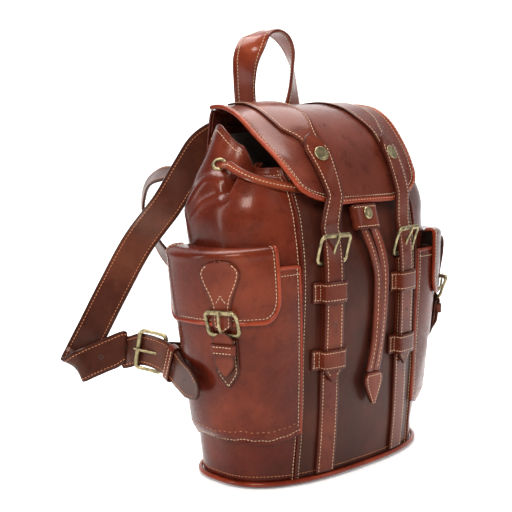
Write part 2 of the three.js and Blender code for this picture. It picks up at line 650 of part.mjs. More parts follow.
function addPocket(side, place) {
  const rows = [47.6, 50, 54, 60, ...steps(5, 75, POCKET.top)];
  const columns = steps(12, POCKET.middle - POCKET.back, POCKET.middle + POCKET.front);
  addPiece(`pocket_body_${side}`, place(sheet(rows.map((z) => columns.map((t) => (
    onPocket(t, z)))), LEATHER)), BROWN);
  addPiece(`pocket_flap_${side}`, place(pocketFlap()), BROWN);

  const angle = POCKET_STRAP_ANGLE;
  const onFlapFace = (z, out) => onPocketFlap(angle, z, LEATHER / 2 + 2 * SKIN_GAP + out);
  const bar = onPocket(angle, POCKET_BUCKLE_BAR, POCKET_BAR_LIFT);
  const reach = POCKET_BUCKLE.height - POCKET_BUCKLE.bar;
  const far = onFlapFace(POCKET_BUCKLE_BAR + reach * 0.88, STRAP_LEATHER + 0.6 + POCKET_BUCKLE.thickness / 2);
  const up = far.sub(bar).normalize();
  const out = bar.clone().sub(onPocket(angle, POCKET_BUCKLE_BAR)).normalize();
  const across = vec(0, 0, 1).cross(out).normalize();
  const buckle = { at: bar, up, out: across.clone().cross(up) };

  const lift = POCKET_BAR_LIFT + POCKET_BUCKLE.thickness / 2 + 0.9 + STRAP_LEATHER / 2;
  const upper = steps(4, POCKET_STRAP_TOP, 166).map((z) => onFlapFace(z, STRAP_LEATHER / 2));
  const lower = [147, 139, 130, POCKET_STRAP_TIP + 9, POCKET_STRAP_TIP + 3, POCKET_STRAP_TIP]
    .map((z) => onPocket(angle, z, lift));
  const curve = new THREE.CatmullRomCurve3([...upper, ...lower], false, 'centripetal');
  const places = steps(18).map((t) => {
    const at = curve.getPoint(t);
    return { at, across, width: POCKET_STRAP_WIDTH * Math.min(1, 0.12 + (at.z - POCKET_STRAP_TIP) / 11) };
  });
  addPiece(`pocket_strap_${side}`, place(punched(strap(places, STRAP_LEATHER, 1), [tongueSlot(buckle)])), RED);
  addPiece(`pocket_lower_strap_${side}`, place(strap(steps(4, LOWER_STRAP_TIP, POCKET_BUCKLE_BAR - 4).map((z) => ({
    at: onPocket(angle, z, LEATHER / 2 + SKIN_GAP + 1.2),
    across,
    width: POCKET_STRAP_WIDTH * Math.min(1, 0.3 + (z - LOWER_STRAP_TIP) / 12),
  })), 2.2, 1)), RED);
  addPiece(`pocket_keeper_${side}`, place(loopAround(
    onPocket(angle, POCKET_KEEPER_HEIGHT, lift + 0.3), across, out, vec(0, 0, 1), POCKET_STRAP_WIDTH / 2 + 1.8, 3.1, 8,
  )), RED);
  return buckle;
}

// A closed band round a strap: half its inner width and depth, and its height.
function loopAround(at, across, out, up, halfWidth, halfDepth, height) {
  const corners = [[1, 0.6], [0.86, 1], [-0.86, 1], [-1, 0.6], [-1, -0.6], [-0.86, -1], [0.86, -1], [1, -0.6]];
  const frames = corners.map(([a, b]) => ({
    at: at.clone().addScaledVector(across, a * halfWidth).addScaledVector(out, b * halfDepth),
    across: across.clone().multiplyScalar(Math.abs(a) > 0.9 ? Math.sign(a) : 0.5 * a)
      .addScaledVector(out, Math.abs(b) > 0.9 ? Math.sign(b) : 0.5 * b).normalize(),
    up,
  }));
  return sweep(frames, [[0.8, -height / 2], [0.8, height / 2], [-0.8, height / 2], [-0.8, -height / 2]], true);
}

// ---- Handle ----

// A ribbon through places that each give [middle, the way its face looks].
function ribbon(places, width, thickness, segments, taper = () => 1) {
  const middles = places.map(([at]) => at);
  const edge = (side) => new THREE.CatmullRomCurve3(places.map(([at, face], i) => {
    const before = middles[Math.max(i - 1, 0)];
    const after = middles[Math.min(i + 1, middles.length - 1)];
    const across = after.clone().sub(before).cross(face).normalize();
    return at.clone().addScaledVector(across, (side * width) / 2);
  }), false, 'centripetal');
  const [low, high] = [edge(-1), edge(1)];
  return sheet(steps(segments).map((t) => {
    const [a, b] = [low.getPoint(t), high.getPoint(t)];
    const half = b.clone().sub(a).multiplyScalar(0.5 * taper(t));
    return steps(2, -1, 1).map((w) => a.clone().lerp(b, 0.5).addScaledVector(half, w));
  }), thickness);
}

const placesOf = (rows) => rows.map(([at, face]) => [vec(...at), vec(...face)]);

const HANDLE_PLACES = placesOf([
  [[-28, 67, 338], [0, -1, 0]],
  [[-28, 68, 350], [0, -1, 0]],
  [[-28, 69.5, 372], [-0.05, -1, 0]],
  [[-26, 69.5, 394], [-0.3, -0.9, 0.1]],
  [[-17, 69.5, 410], [-0.7, -0.5, 0.5]],
  [[-5, 69.5, 420], [-0.3, 0, 1]],
  [[9, 69.5, 424], [0, 0, 1]],
  [[23, 69.5, 420], [0.5, -0.1, 0.9]],
  [[35, 69.5, 408], [0.9, -0.4, 0.4]],
  [[41, 69.5, 390], [0.7, -0.7, 0.1]],
  [[43, 69.5, 370], [0.5, -0.85, 0]],
  [[41, 68, 350], [0.2, -1, 0]],
  [[38, 67, 338], [0, -1, 0]],
]);

// ---- Shoulder straps ----

// The end that both straps share, as seen on the left: past the buckle, the loop and to the tip.
const STRAP_END = placesOf([
  [[-158, 102, 113], [0.85, 0.4, -0.2]],
  [[-153, 82, 118], [0.95, 0.3, 0]],
  [[-148.5, 60, 115], [0.95, 0.31, 0]],
  [[-150.5, 42, 110.5], [0.98, 0.1, 0]],
  [[-156.5, 23, 104.5], [0.98, -0.15, 0]],
  [[-161, 3, 98], [0.97, -0.2, 0]],
  [[-163, -9, 94], [0.93, -0.36, 0]],
]);

// The left strap falls to a flat fold and comes back; the right one stands in an arch behind.
const LEFT_STRAP = placesOf([
  [[-50, 72, 320], [0, -1, 0]],
  [[-66, 72, 318], [-0.1, -1, 0.05]],
  [[-83, 73.5, 308], [-0.35, -0.9, 0.1]],
  [[-95, 80, 287], [-0.6, -0.75, 0.1]],
  [[-109, 94, 254], [-0.7, -0.7, 0.12]],
  [[-136, 107, 216], [-0.7, -0.7, 0.12]],
  [[-157, 120, 172], [-0.7, -0.7, 0.12]],
  [[-174, 131, 133], [-0.7, -0.7, 0.12]],
]);
const FOLD = {
  at: vec(-186, 140, 104),
  run: vec(-0.36, 0.27, -0.89).normalize(),
  face: vec(-0.7, -0.7, 0.12).normalize(),
  turn: 70,                   // degrees from the strap's run to the crease
  radius: 6,
};
const RIGHT_STRAP = placesOf([
  [[62, 72, 320], [0, -1, 0]],
  [[40, 73.5, 317], [-0.1, -1, 0.2]],
  [[0, 86, 302], [-0.3, -0.8, 0.6]],
  [[-34, 112, 289], [-0.3, -0.5, 0.8]],
  [[-57, 141, 281], [-0.3, -0.2, 0.9]],
  [[-60, 170, 276], [-0.6, 0.3, 0.7]],
  [[-56, 193, 260], [-0.8, 0.5, 0.3]],
  [[-53, 201, 241], [-0.8, 0.6, 0]],
  [[-49, 198, 222], [-0.8, 0.5, -0.3]],
  [[-42, 190, 202], [-0.8, 0.3, -0.5]],
  [[-32, 180, 182], [-0.75, 0.1, -0.6]],
  [[-15, 165, 158], [-0.6, 0.3, -0.7]],
  [[20, 144, 128], [-0.3, 0.7, -0.6]],
  [[60, 128, 112], [-0.2, 1, -0.2]],
  [[105, 117, 108], [-0.2, 1, 0]],
  [[142, 107, 112], [-0.6, 0.8, 0]],
]);

// A ribbon turned back on itself over a crease: its middle and face at a length past the fold.
function foldedPlace(length) {
  const { at, run, face, turn, radius } = FOLD;
  const crease = run.clone().applyAxisAngle(face, radians(turn));
  const beyond = face.clone().cross(crease).normalize();
  if (beyond.dot(run) < 0) beyond.negate();
  const [across, along] = [beyond.dot(run) * length, crease.dot(run) * length];
  const turned = THREE.MathUtils.clamp(across / radius, 0, Math.PI);
  const rest = across < 0 ? across : -Math.max(0, across - Math.PI * radius);
  const middle = at.clone().addScaledVector(crease, along)
    .addScaledVector(beyond, radius * Math.sin(turned) + rest)
    .addScaledVector(face, radius * (1 - Math.cos(turned)));
  return [middle, face.clone().multiplyScalar(Math.cos(turned)).addScaledVector(beyond, -Math.sin(turned))];
}

function addShoulderStrap(side, sign, places) {
  const toSide = (v) => vec(sign * v.x, v.y, v.z);
  const end = STRAP_END.map(([at, face]) => [toSide(at), toSide(face).multiplyScalar(sign)]);
  const tip = (t) => Math.min(1, Math.sqrt(Math.max(0, 1 - t) * 14) + 0.25);
  const [before, through, after] = end.slice(1, 4).map(([at]) => at);
  const run = after.clone().sub(before).normalize();
  const out = end[2][1].clone().multiplyScalar(-sign);
  const outward = out.addScaledVector(run, -out.dot(run)).normalize();
  const bar = through.clone().addScaledVector(outward, -STRAP_LEATHER / 2 - SHOULDER_BUCKLE.thickness / 2 - 1);
  const place = tilted({ at: bar, up: run.clone().negate(), out: outward }, SHOULDER_BUCKLE_TILT);
  addPiece(`shoulder_strap_${side}`, punched(
    ribbon([...places, ...end], SHOULDER_WIDTH, SHOULDER_THICKNESS, 72, tip), [tongueSlot(place)],
  ), BROWN);
  addBuckle(`shoulder_${side}`, SHOULDER_BUCKLE, place);

  const keeperRun = end[4][0].clone().sub(end[2][0]).normalize();
  const keeperAcross = keeperRun.clone().cross(end[3][1]).normalize();
  addPiece(`shoulder_keeper_${side}`, loopAround(
    end[3][0], keeperAcross, keeperRun.clone().cross(keeperAcross).normalize(), keeperRun,
    SHOULDER_WIDTH / 2 + 2.4, 4, 9,
  ), RED);

  const width = run.clone().cross(outward).normalize().multiplyScalar(sign);
  addPiece(`strap_anchor_${side}`, sheet(steps(4).map((t) => steps(3).map((w) => {
    const seam = toSide(onBody(138, THREE.MathUtils.lerp(121, 54, w), 1.8));
    return bar.clone().addScaledVector(width, (w - 0.5) * 27).addScaledVector(run, 4.6).lerp(seam, t);
  })), 2.4), DARK);
}

// ---- Build ----

addBody();
addFlap();
addFront();
addDrawcord();
for (const [side, place, sign] of [['left', (g) => g, 1], ['right', mirrored, -1]]) {
  const { at, up, out } = addPocket(side, place);
  const [mirrorAt, mirrorUp, mirrorOut] = [at, up, out].map((v) => vec(sign * v.x, v.y, v.z));
  addBuckle(`pocket_${side}`, POCKET_BUCKLE, { at: mirrorAt, up: mirrorUp, out: mirrorOut });
}
addPiece('top_handle', ribbon(HANDLE_PLACES, HANDLE_WIDTH, HANDLE_THICKNESS, 36), RED);
addShoulderStrap('left', 1, [...LEFT_STRAP, ...steps(7, -18, 66).map(foldedPlace)]);
addShoulderStrap('right', -1, RIGHT_STRAP);

export default bag;
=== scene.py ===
# Leather backpack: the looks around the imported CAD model. Lengths below are millimetres in the
# frame of the part; meshes are made in metres.
import math

import bmesh
import bpy
import numpy as np
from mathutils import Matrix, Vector


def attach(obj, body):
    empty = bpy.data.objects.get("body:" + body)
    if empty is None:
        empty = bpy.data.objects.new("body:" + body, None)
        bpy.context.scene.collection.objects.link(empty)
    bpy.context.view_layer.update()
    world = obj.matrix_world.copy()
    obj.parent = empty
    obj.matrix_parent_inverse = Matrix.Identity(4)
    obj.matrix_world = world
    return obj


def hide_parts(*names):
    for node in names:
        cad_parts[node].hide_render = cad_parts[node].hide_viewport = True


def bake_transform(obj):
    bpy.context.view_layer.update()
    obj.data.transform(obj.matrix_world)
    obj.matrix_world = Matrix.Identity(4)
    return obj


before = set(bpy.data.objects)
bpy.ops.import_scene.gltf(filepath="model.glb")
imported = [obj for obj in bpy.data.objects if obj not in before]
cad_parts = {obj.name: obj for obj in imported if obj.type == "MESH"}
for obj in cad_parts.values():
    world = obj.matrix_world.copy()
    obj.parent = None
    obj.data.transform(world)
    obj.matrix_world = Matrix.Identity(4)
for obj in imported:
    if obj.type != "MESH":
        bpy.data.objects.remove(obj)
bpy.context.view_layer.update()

MM = 0.001
LEFT, RIGHT = -1, 1
SIDES = (("left", LEFT), ("right", RIGHT))

# ---- Camera ----

CAMERA_AT = (-0.766, -0.6795, 0.3266)
CAMERA_TARGET = (-0.0406, 0.0409, 0.2010)
CAMERA_LENS = 73.2

camera_data = bpy.data.cameras.new("camera")
camera_data.lens = CAMERA_LENS
camera_data.sensor_width = 36.0
camera = bpy.data.objects.new("camera", camera_data)
bpy.context.scene.collection.objects.link(camera)
camera.location = CAMERA_AT
camera.rotation_mode = "QUATERNION"
camera.rotation_quaternion = (Vector(CAMERA_TARGET) - Vector(CAMERA_AT)).to_track_quat("-Z", "Y")
bpy.context.scene.camera = camera

# ---- Dimensions shared with the part ----

LEATHER = 2.2
STRAP_LEATHER = 2.8
FLAP_LEATHER = 2.4
GAP = 0.6
BODY_ROWS = np.array([
    [0, 126, 62, 63, 2.8], [50, 131, 66, 66, 2.8], [120, 133, 68, 67, 2.8], [200, 138, 68, 70, 2.8],
    [245, 142, 61, 72, 2.9], [262, 139, 55.5, 71, 3.1], [280, 128, 49, 68, 3.4],
    [300, 113, 42, 65, 3.8], [325, 101, 35, 61, 4.0], [345, 95, 30, 58, 4.0]])
FRONT_EXPONENT = 2.56
MOUTH_HEIGHT, MOUTH_SLOPE = 306, 24
NECK_GROOVE, FLAP_TUCK, FLAP_MARGIN = 30, 1.15, 4
FRONT_SEAM_X, SEAM_BACK = 84, 43
FLAP_HALF_WIDTH, FLAP_CORNER = 86, 26
FLAP_MIDDLE = [[57, 346.6], [45, 348], [29, 349], [12, 347.5], [-8, 342], [-26, 331],
               [-40, 316], [-50, 300], [-57.5, 283], [-62.5, 268], [-64.5, 259.5]]
FLAP_LEFT = [[57, 345.6], [46, 346.6], [34, 344.5], [18, 337], [-2, 321.5], [-18, 309.5],
             [-31, 299.5], [-43, 289], [-53, 279.5], [-60, 272], [-64, 267]]
FLAP_RIGHT = [[57, 345.6], [45, 347.4], [29, 349], [12, 348.5], [-6, 344.5], [-22, 334],
              [-35, 319], [-46, 302], [-53, 287], [-57, 275], [-58.5, 267]]
YOKE = [[68.2, 298], [67.2, 310], [65.6, 322], [64, 332], [62.6, 339], [60.8, 342.8]]
YOKE_HALF_WIDTH, YOKE_CURL = 84, 4
STRAP_X, RIVET_X, STRAP_WIDTH = 53, 49, 20.5
OVERLAY_WIDTH, OVERLAY_END = 29, 297
STRAP_TOP, STRAP_TIP, LOWER_STRAP_TOP = 317, 97, 201.5
RIVET_HEIGHT, RIVET_RADIUS = 300, 7.2
CLOSING_LIFT = FLAP_LEATHER / 2 + GAP + 2 + GAP + STRAP_LEATHER / 2
CLOSING_OUT = 6.4
KEEPER_HEIGHTS = {"upper": 179, "lower": 117}
KEEPER_HEIGHT, KEEPER_HALF_WIDTH, KEEPER_LEATHER = 18, 21.8, 1.8
FRONT_BUCKLE = {"width": 39, "height": 30, "bar": 4.0, "arch": 0.0}
POCKET_BUCKLE = {"width": 33, "height": 27, "bar": 3.8, "arch": 4.6}
SHOULDER_BUCKLE = {"width": 41, "height": 30, "bar": 4.2, "arch": 1.5}
FRONT_BUCKLE_BAR, FRONT_BUCKLE_LIFT, BUCKLE_TILT, SHOULDER_BUCKLE_TILT = 205.5, 2.5, 17, 28
BUCKLE_THICKNESS = {"front": 3.0, "pocket": 3.2, "shoulder": 3.4}
POCKET = {"middle": 178, "front": 58, "back": 26, "bulge": 25, "low_bulge": 8, "bottom": 47, "top": 204}
POCKET_FLAP = {"from": 163, "to": 222, "hinge_z": 222.5, "bottom": 159, "corner": 16}
FLAP_OVER_POCKET = 1.1
DEGREES_PER_MM = 0.42
POCKET_STRAP_ANGLE, POCKET_STRAP_WIDTH, POCKET_STRAP_TIP = 195, 18, 112
POCKET_BUCKLE_BAR, POCKET_KEEPER_HEIGHT = 149, 137
EYELET_ANGLE, EYELET_DROP = 176, 13
SHOULDER_WIDTH, SHOULDER_THICKNESS = 28.6, 3.0
HANDLE_WIDTH, HANDLE_THICKNESS = 25.6, 4.0
LACE_WIDTH = 8.6
TOGGLE_X = -6
CLOSING_HOLES = (241, 150)

# ---- Numbers and curves ----


def vec(*xyz):
    return np.array(xyz, float)


def unit(v):
    v = np.asarray(v, float)
    return v / np.maximum(np.linalg.norm(v, axis=-1, keepdims=True), 1e-12)


def smooth(x, low, high):
    t = np.clip((np.asarray(x, float) - low) / (high - low), 0, 1)
    return t * t * (3 - 2 * t)


def bump(x, middle, width):
    return np.exp(-(((np.asarray(x, float) - middle) / width) ** 2))


def read_rows(rows, x, column):
    """A smooth value from rows that start with their position."""
    x = np.asarray(x, float)
    xs, ys = rows[:, 0], rows[:, column]
    last = len(rows) - 1
    i = np.clip(np.searchsorted(xs, x, "left") - 1, 0, last - 1)
    before, after = np.maximum(np.arange(last + 1) - 1, 0), np.minimum(np.arange(last + 1) + 1, last)
    slopes = (ys[after] - ys[before]) / (xs[after] - xs[before])
    width = xs[i + 1] - xs[i]
    t = np.clip((x - xs[i]) / width, 0, 1)
    rise = ys[i + 1] - ys[i]
    m0, m1 = slopes[i] * width, slopes[i + 1] * width
    return ys[i] + m0 * t + (3 * rise - 2 * m0 - m1) * t ** 2 + (m0 + m1 - 2 * rise) * t ** 3


def spline(points, t):
    """A uniform Catmull-Rom curve through the points, at t from 0 to 1."""
    p = np.asarray(points, float)
    t = np.clip(np.asarray(t, float), 0, 1) * (len(p) - 1)
    i = np.clip(np.floor(t).astype(int), 0, len(p) - 2)
    w = (t - i)[..., None]
    p0, p1, p2, p3 = p[np.maximum(i - 1, 0)], p[i], p[i + 1], p[np.minimum(i + 2, len(p) - 1)]
    v0, v1 = (p2 - p0) / 2, (p3 - p1) / 2
    return p1 + v0 * w + (3 * (p2 - p1) - 2 * v0 - v1) * w ** 2 + (2 * (p1 - p2) + v0 + v1) * w ** 3


def centripetal(points, t):
    """A centripetal Catmull-Rom curve through the points, at t from 0 to 1."""
    p = np.asarray(points, float)
    n = len(p)
    p = np.vstack([2 * p[0] - p[1], p, 2 * p[-1] - p[-2]])
    t = np.clip(np.asarray(t, float), 0, 1) * (n - 1)
    i = np.clip(np.floor(t).astype(int), 0, n - 2)
    w = (t - i)[:, None]
    a, b, c, d = p[i], p[i + 1], p[i + 2], p[i + 3]
    d0, d1, d2 = (np.maximum(np.linalg.norm(q - r, axis=1, keepdims=True) ** 0.5, 1e-4)
                  for q, r in ((b, a), (c, b), (d, c)))
    t1 = ((b - a) / d0 - (c - a) / (d0 + d1) + (c - b) / d1) * d1
    t2 = ((c - b) / d1 - (d - b) / (d1 + d2) + (d - c) / d2) * d1
    return b + t1 * w + (3 * (c - b) - 2 * t1 - t2) * w ** 2 + (2 * (b - c) + t1 + t2) * w ** 3


def lengths_along(path):
    return np.concatenate([[0], np.cumsum(np.linalg.norm(np.diff(path, axis=0), axis=1))])


def resample(path, count, *others):
    """The path at evenly spaced lengths, with the other arrays read at the same places."""
    s = lengths_along(path)
    at = np.linspace(0, s[-1], count)
    made = [np.stack([np.interp(at, s, a[:, k]) for k in range(a.shape[1])], 1) for a in (path, *others)]
    return made[0] if not others else made


def turn_about(v, axis, degrees):
    k, a = unit(axis), math.radians(degrees)
    return v * math.cos(a) + np.cross(k, v) * math.sin(a) + k * np.dot(k, v) * (1 - math.cos(a))


# ---- The body's surface ----


def as_left(deg):
    """The same place on the left half, for angles from 0 to 450."""
    return np.where(np.cos(np.radians(deg)) < 0, deg, np.where(deg >= 180, 540 - deg, 180 - deg))


def neck_fold(deg, z):
    """The side of the neck is drawn in: how far the leather is pushed in, in millimetres."""
    rise = smooth(z, 256, 308)
    middle = 187 - 1.0 * rise
    side = as_left(deg)
    groove = NECK_GROOVE * rise * bump(side, middle, 5.5)
    back_ridge = 3.5 * smooth(z, 262, 285) * bump(side, 168, 10)
    front_ridge = 2.5 * smooth(z, 232, 262) * (1 - smooth(z, 285, 300)) * bump(side, 218, 10)
    crease = side - 158 - (z - 248) * 0.62
    pull = 3.4 * smooth(z, 240, 256) * (1 - smooth(z, 282, 296)) * (bump(crease, 0, 5) - 0.8 * bump(crease,
                                                                                                    9, 5))
    tuck = (FLAP_TUCK * np.maximum(0, np.abs(bare_body(deg, z)[..., 0]) - 80) * smooth(z,
        under_flap(deg) - 18, under_flap(deg) - 3)
            * smooth(side, 186, 193) * (1 - smooth(side, 246, 256)))
    groove = groove + tuck
    return groove - back_ridge - front_ridge - pull


def front_gathers(deg, z):
    """Soft folds in the front below the neck."""
    inside = smooth(z, 215, 262)
    return inside * (1.6 * np.cos(np.radians((deg - 270) * 9)) + 0.8 * np.cos(np.radians((deg - 262) * 17)))


def hand_worn(deg, z):
    """Long shallow dents that soft leather has everywhere."""
    a = np.radians(deg)
    value = 0.5 * np.sin(3 * a + z * 0.021) * np.sin(z * 0.033 + 1.3 * np.cos(2 * a))
    value += 0.35 * np.sin(7 * a - z * 0.045) + 0.25 * np.sin(11 * a + z * 0.07)
    return value * smooth(z, 8, 40)


def relief(deg, z):
    deg, z = np.broadcast_arrays(np.asarray(deg, float), np.asarray(z, float))
    flat_front = bump(deg, 270, 32)
    low_dent = 2.2 * bump(z, 24, 12) * bump(as_left(deg), 214, 15)
    return (-neck_fold(deg, z) - 0.6 * front_gathers(deg, z) * flat_front
            + hand_worn(deg, z) * (1 - 0.7 * flat_front) - low_dent)


def bare_body(deg, z):
    deg, z = np.broadcast_arrays(np.asarray(deg, float), np.asarray(z, float))
    half, front, back, back_exponent = (read_rows(BODY_ROWS, z, k) for k in (1, 2, 3, 4))
    c, s = np.cos(np.radians(deg)), np.sin(np.radians(deg))
    depth, n = np.where(s < 0, front, back), np.where(s < 0, FRONT_EXPONENT, back_exponent)
    x = half * np.sign(c) * np.abs(c) ** (2 / n)
    y = depth * np.sign(s) * np.abs(s) ** (2 / n)
    return np.stack([x, y, z], -1)


def body_normal(deg, z):
    around = bare_body(np.asarray(deg) + 0.5, z) - bare_body(np.asarray(deg) - 0.5, z)
    rising = bare_body(deg, np.asarray(z) + 1) - bare_body(deg, np.asarray(z) - 1)
    return unit(np.cross(around, rising))


def on_body(deg, z, out=0.0, worn=0.0):
    """The point at an angle in degrees and a height, moved out, with a share of the wear's relief."""
    out = np.asarray(out, float) + (worn * relief(deg, z) if worn else 0)
    return bare_body(deg, z) + body_normal(deg, z) * np.asarray(out)[..., None]


def front_angle(x, z):
    half = read_rows(BODY_ROWS, z, 1)
    angle = np.degrees(np.arccos(np.minimum(np.abs(x) / half, 1) ** (FRONT_EXPONENT / 2)))
    return np.where(np.asarray(x) < 0, 180 + angle, 360 - angle)


def on_front(x, z, out=0.0):
    x, z = np.broadcast_arrays(np.asarray(x, float), np.asarray(z, float))
    return on_body(front_angle(x, z), z, out)


def seam_angle(z):
    return front_angle(-np.minimum(FRONT_SEAM_X, 0.72 * read_rows(BODY_ROWS, z, 1)), z)


def mouth_at(deg):
    return MOUTH_HEIGHT + MOUTH_SLOPE * np.sin(np.radians(deg))


def under_flap(deg):
    """The height just below the flap's side edge, by the angle around the body."""
    deg = np.mod(np.asarray(deg, float), 360)
    y = bare_body(deg, 298 + 0 * deg)[..., 1]
    heights = []
    for edge in (FLAP_LEFT, FLAP_RIGHT):
        curve = np.array(edge)[::-1]
        heights.append(np.interp(y, curve[:, 0], curve[:, 1]))
    return np.where(np.cos(np.radians(deg)) < 0, heights[0], heights[1]) - FLAP_MARGIN


def rim_at(deg):
    """The leather's own rim: it stands up beside the back seams and follows the flap's sides."""
    deg = np.asarray(deg, float)
    side = as_left(np.mod(deg, 360))
    behind = 17 * bump(side, 169, 15) - 8 * bump(side, 184.5, 4.5)
    along_flap = smooth(side, 186, 191) * (1 - smooth(side, 238, 250))
    under = np.minimum(under_flap(deg), 322)
    return (mouth_at(deg) + behind) * (1 - along_flap) + under * along_flap


# ---- Meshes ----

MATERIALS = {}


def paint(mesh, material):
    mesh.materials.clear()
    mesh.materials.append(MATERIALS[material])


def add(name, verts, faces, material, body=None, nodes=(), slot=None, edge=None, sharp=48, blend=None):
    """A piece from points in millimetres. It faces out, rides on its body and stands for its nodes."""
    mesh = bpy.data.meshes.new(name)
    mesh.from_pydata((np.asarray(verts, float) * MM).tolist(), [], [tuple(int(i) for i in f) for f in faces])
    if edge is not None:
        layer = mesh.attributes.new("edge_mm", "FLOAT", "POINT")
        layer.data.foreach_set("value", np.asarray(edge, np.float32))
    work = bmesh.new()
    work.from_mesh(mesh)
    bmesh.ops.remove_doubles(work, verts=work.verts, dist=2e-6)
    bmesh.ops.dissolve_degenerate(work, dist=1e-6, edges=work.edges)
    bmesh.ops.recalc_face_normals(work, faces=work.faces)
    if work.calc_volume(signed=True) < 0:
        bmesh.ops.reverse_faces(work, faces=work.faces)
    work.to_mesh(mesh)
    work.free()
    mesh.polygons.foreach_set("use_smooth", np.ones(len(mesh.polygons), bool))
    if sharp:
        mesh.set_sharp_from_angle(angle=math.radians(sharp))
    paint(mesh, material)
    piece = bpy.data.objects.new(name, mesh)
    bpy.context.scene.collection.objects.link(piece)
    if nodes:
        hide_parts(*nodes)
    if blend:
        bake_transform(piece)
    elif body:
        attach(piece, body)
    return piece


def grid_normals(grid, wrap=False):
    along = np.gradient(grid, axis=0)
    if wrap:
        across = np.roll(grid, -1, 1) - np.roll(grid, 1, 1)
    else:
        across = np.gradient(grid, axis=1)
    return unit(np.cross(along, across))


def grid_faces(index, wrap=False):
    a, b = index[:-1], index[1:]
    if wrap:
        quads = np.stack([a, b, np.roll(b, -1, 1), np.roll(a, -1, 1)], -1)
    else:
        quads = np.stack([a[:, :-1], b[:, :-1], b[:, 1:], a[:, 1:]], -1)
    return quads.reshape(-1, 4)


def shell(grid, thickness, wrap=False):
    """Leather of a thickness about a grid of points, with rolled edges: verts, faces, edge distance."""
    rows, cols = grid.shape[:2]
    normals = grid_normals(grid, wrap)
    r = np.arange(-2, rows + 2)
    c = np.arange(cols) if wrap else np.arange(-2, cols + 2)
    ri, ci = np.clip(r, 0, rows - 1), np.clip(c, 0, cols - 1)
    level_r = np.maximum(-r, r - rows + 1).clip(0)
    level_c = np.zeros(cols, int) if wrap else np.maximum(-c, c - cols + 1).clip(0)
    level = np.maximum(level_r[:, None], level_c[None, :])
    base, nn = grid[ri][:, ci], normals[ri][:, ci]
    away = np.zeros_like(base)
    away[r < 0] += unit(grid[0] - grid[1])[ci]
    away[r >= rows] += unit(grid[-1] - grid[-2])[ci]
    if not wrap:
        away[:, c < 0] += unit(grid[:, 0] - grid[:, 1])[ri][:, None]
        away[:, c >= cols] += unit(grid[:, -1] - grid[:, -2])[ri][:, None]
    away = np.where(level[..., None] > 0, unit(away), 0)
    a = np.array([0, 0.30, 0.42])[level][..., None] * thickness
    b = np.array([0.5, 0.38, 0])[level][..., None] * thickness
    outer, inner = base + away * a + nn * b, base + away * a - nn * b
    dr = np.linalg.norm(np.diff(grid, axis=0), axis=2)
    dr = np.concatenate([np.zeros((1, cols)), np.cumsum(dr, 0)])
    near = np.minimum(dr, dr[-1] - dr)
    if not wrap:
        dc = np.linalg.norm(np.diff(grid, axis=1), axis=2)
        dc = np.concatenate([np.zeros((rows, 1)), np.cumsum(dc, 1)], 1)
        near = np.minimum(near, np.minimum(dc, dc[:, -1:] - dc))
    edge = np.where(level > 0, -0.5 * level, np.minimum(near[ri][:, ci], 12))
    index = np.arange(level.size).reshape(level.shape)
    inner_index = np.where(level == 2, index, index + level.size)
    faces = np.vstack([grid_faces(index, wrap), grid_faces(inner_index, wrap)[:, ::-1]])
    return np.vstack([outer.reshape(-1, 3), inner.reshape(-1, 3)]), faces, np.concatenate([edge.ravel()] * 2)


def add_shell(name, grid, thickness, material, body=None, wrap=False, **more):
    verts, faces, edge = shell(grid, thickness, wrap)
    used = np.unique(faces)
    renumber = np.zeros(len(verts), int)
    renumber[used] = np.arange(len(used))
    return add(name, verts[used], renumber[faces], material, body, edge=edge[used], **more)


def frames_along(path, normals=None, closed=False):
    tangents = np.roll(path, -1, 0) - np.roll(path, 1, 0) if closed else np.gradient(path, axis=0)
    tangents = unit(tangents)
    if normals is None:
        n = np.cross(tangents[0], vec(0.31, 0.17, 0.93))
        made = []
        for t in tangents:
            n = unit(n - t * np.dot(n, t))
            made.append(n)
        normals = np.array(made)
    normals = unit(normals - tangents * np.sum(normals * tangents, 1, keepdims=True))
    return tangents, normals, np.cross(tangents, normals)


def sweep(path, section, normals=None, closed=False, ends=True):
    """A closed outline through a path: section is [across, up] pairs, per point of the path or once."""
    tangents, up, across = frames_along(path, normals, closed)
    section = np.asarray(section, float)
    if section.ndim == 2:
        section = np.broadcast_to(section, (len(path), *section.shape))
    rings = path[:, None] + across[:, None] * section[..., :1] + up[:, None] * section[..., 1:]
    if not closed and ends:
        reach = 0.5 * np.abs(section[0]).max(0).min()
        for which, t in ((0, -tangents[0]), (-1, tangents[-1])):
            middle = rings[which].mean(0)
            extra = [middle + (rings[which] - middle) * k + t * reach * h for k,
                     h in ((0.72, 0.7), (0.02, 1.0))]
            rings = np.vstack([extra[::-1], rings]) if which == 0 else np.vstack([rings, extra])
    index = np.arange(rings.shape[0] * rings.shape[1]).reshape(rings.shape[:2])
    if closed:
        index = np.vstack([index, index[:1]])
    return rings.reshape(-1, 3), grid_faces(index, wrap=True)


def ellipse(a, b, sides=12, power=1.0):
    t = np.arange(sides) / sides * 2 * math.pi
    c, s = np.cos(t), np.sin(t)
    return np.stack([a * np.sign(c) * np.abs(c) ** power, b * np.sign(s) * np.abs(s) ** power], 1)


def add_sweep(name, path, section, material, body=None, normals=None, closed=False, **more):
    verts, faces = sweep(np.asarray(path, float), section, normals, closed)
    return add(name, verts, faces, material, body, **more)


def joined(parts):
    verts, faces, base = [], [], 0
    for v, f in parts:
        verts.append(v)
        faces.append(np.asarray(f) + base)
        base += len(v)
    return np.vstack(verts), [list(q) for f in faces for q in f]


# ---- Stitches ----

THREADS = {}


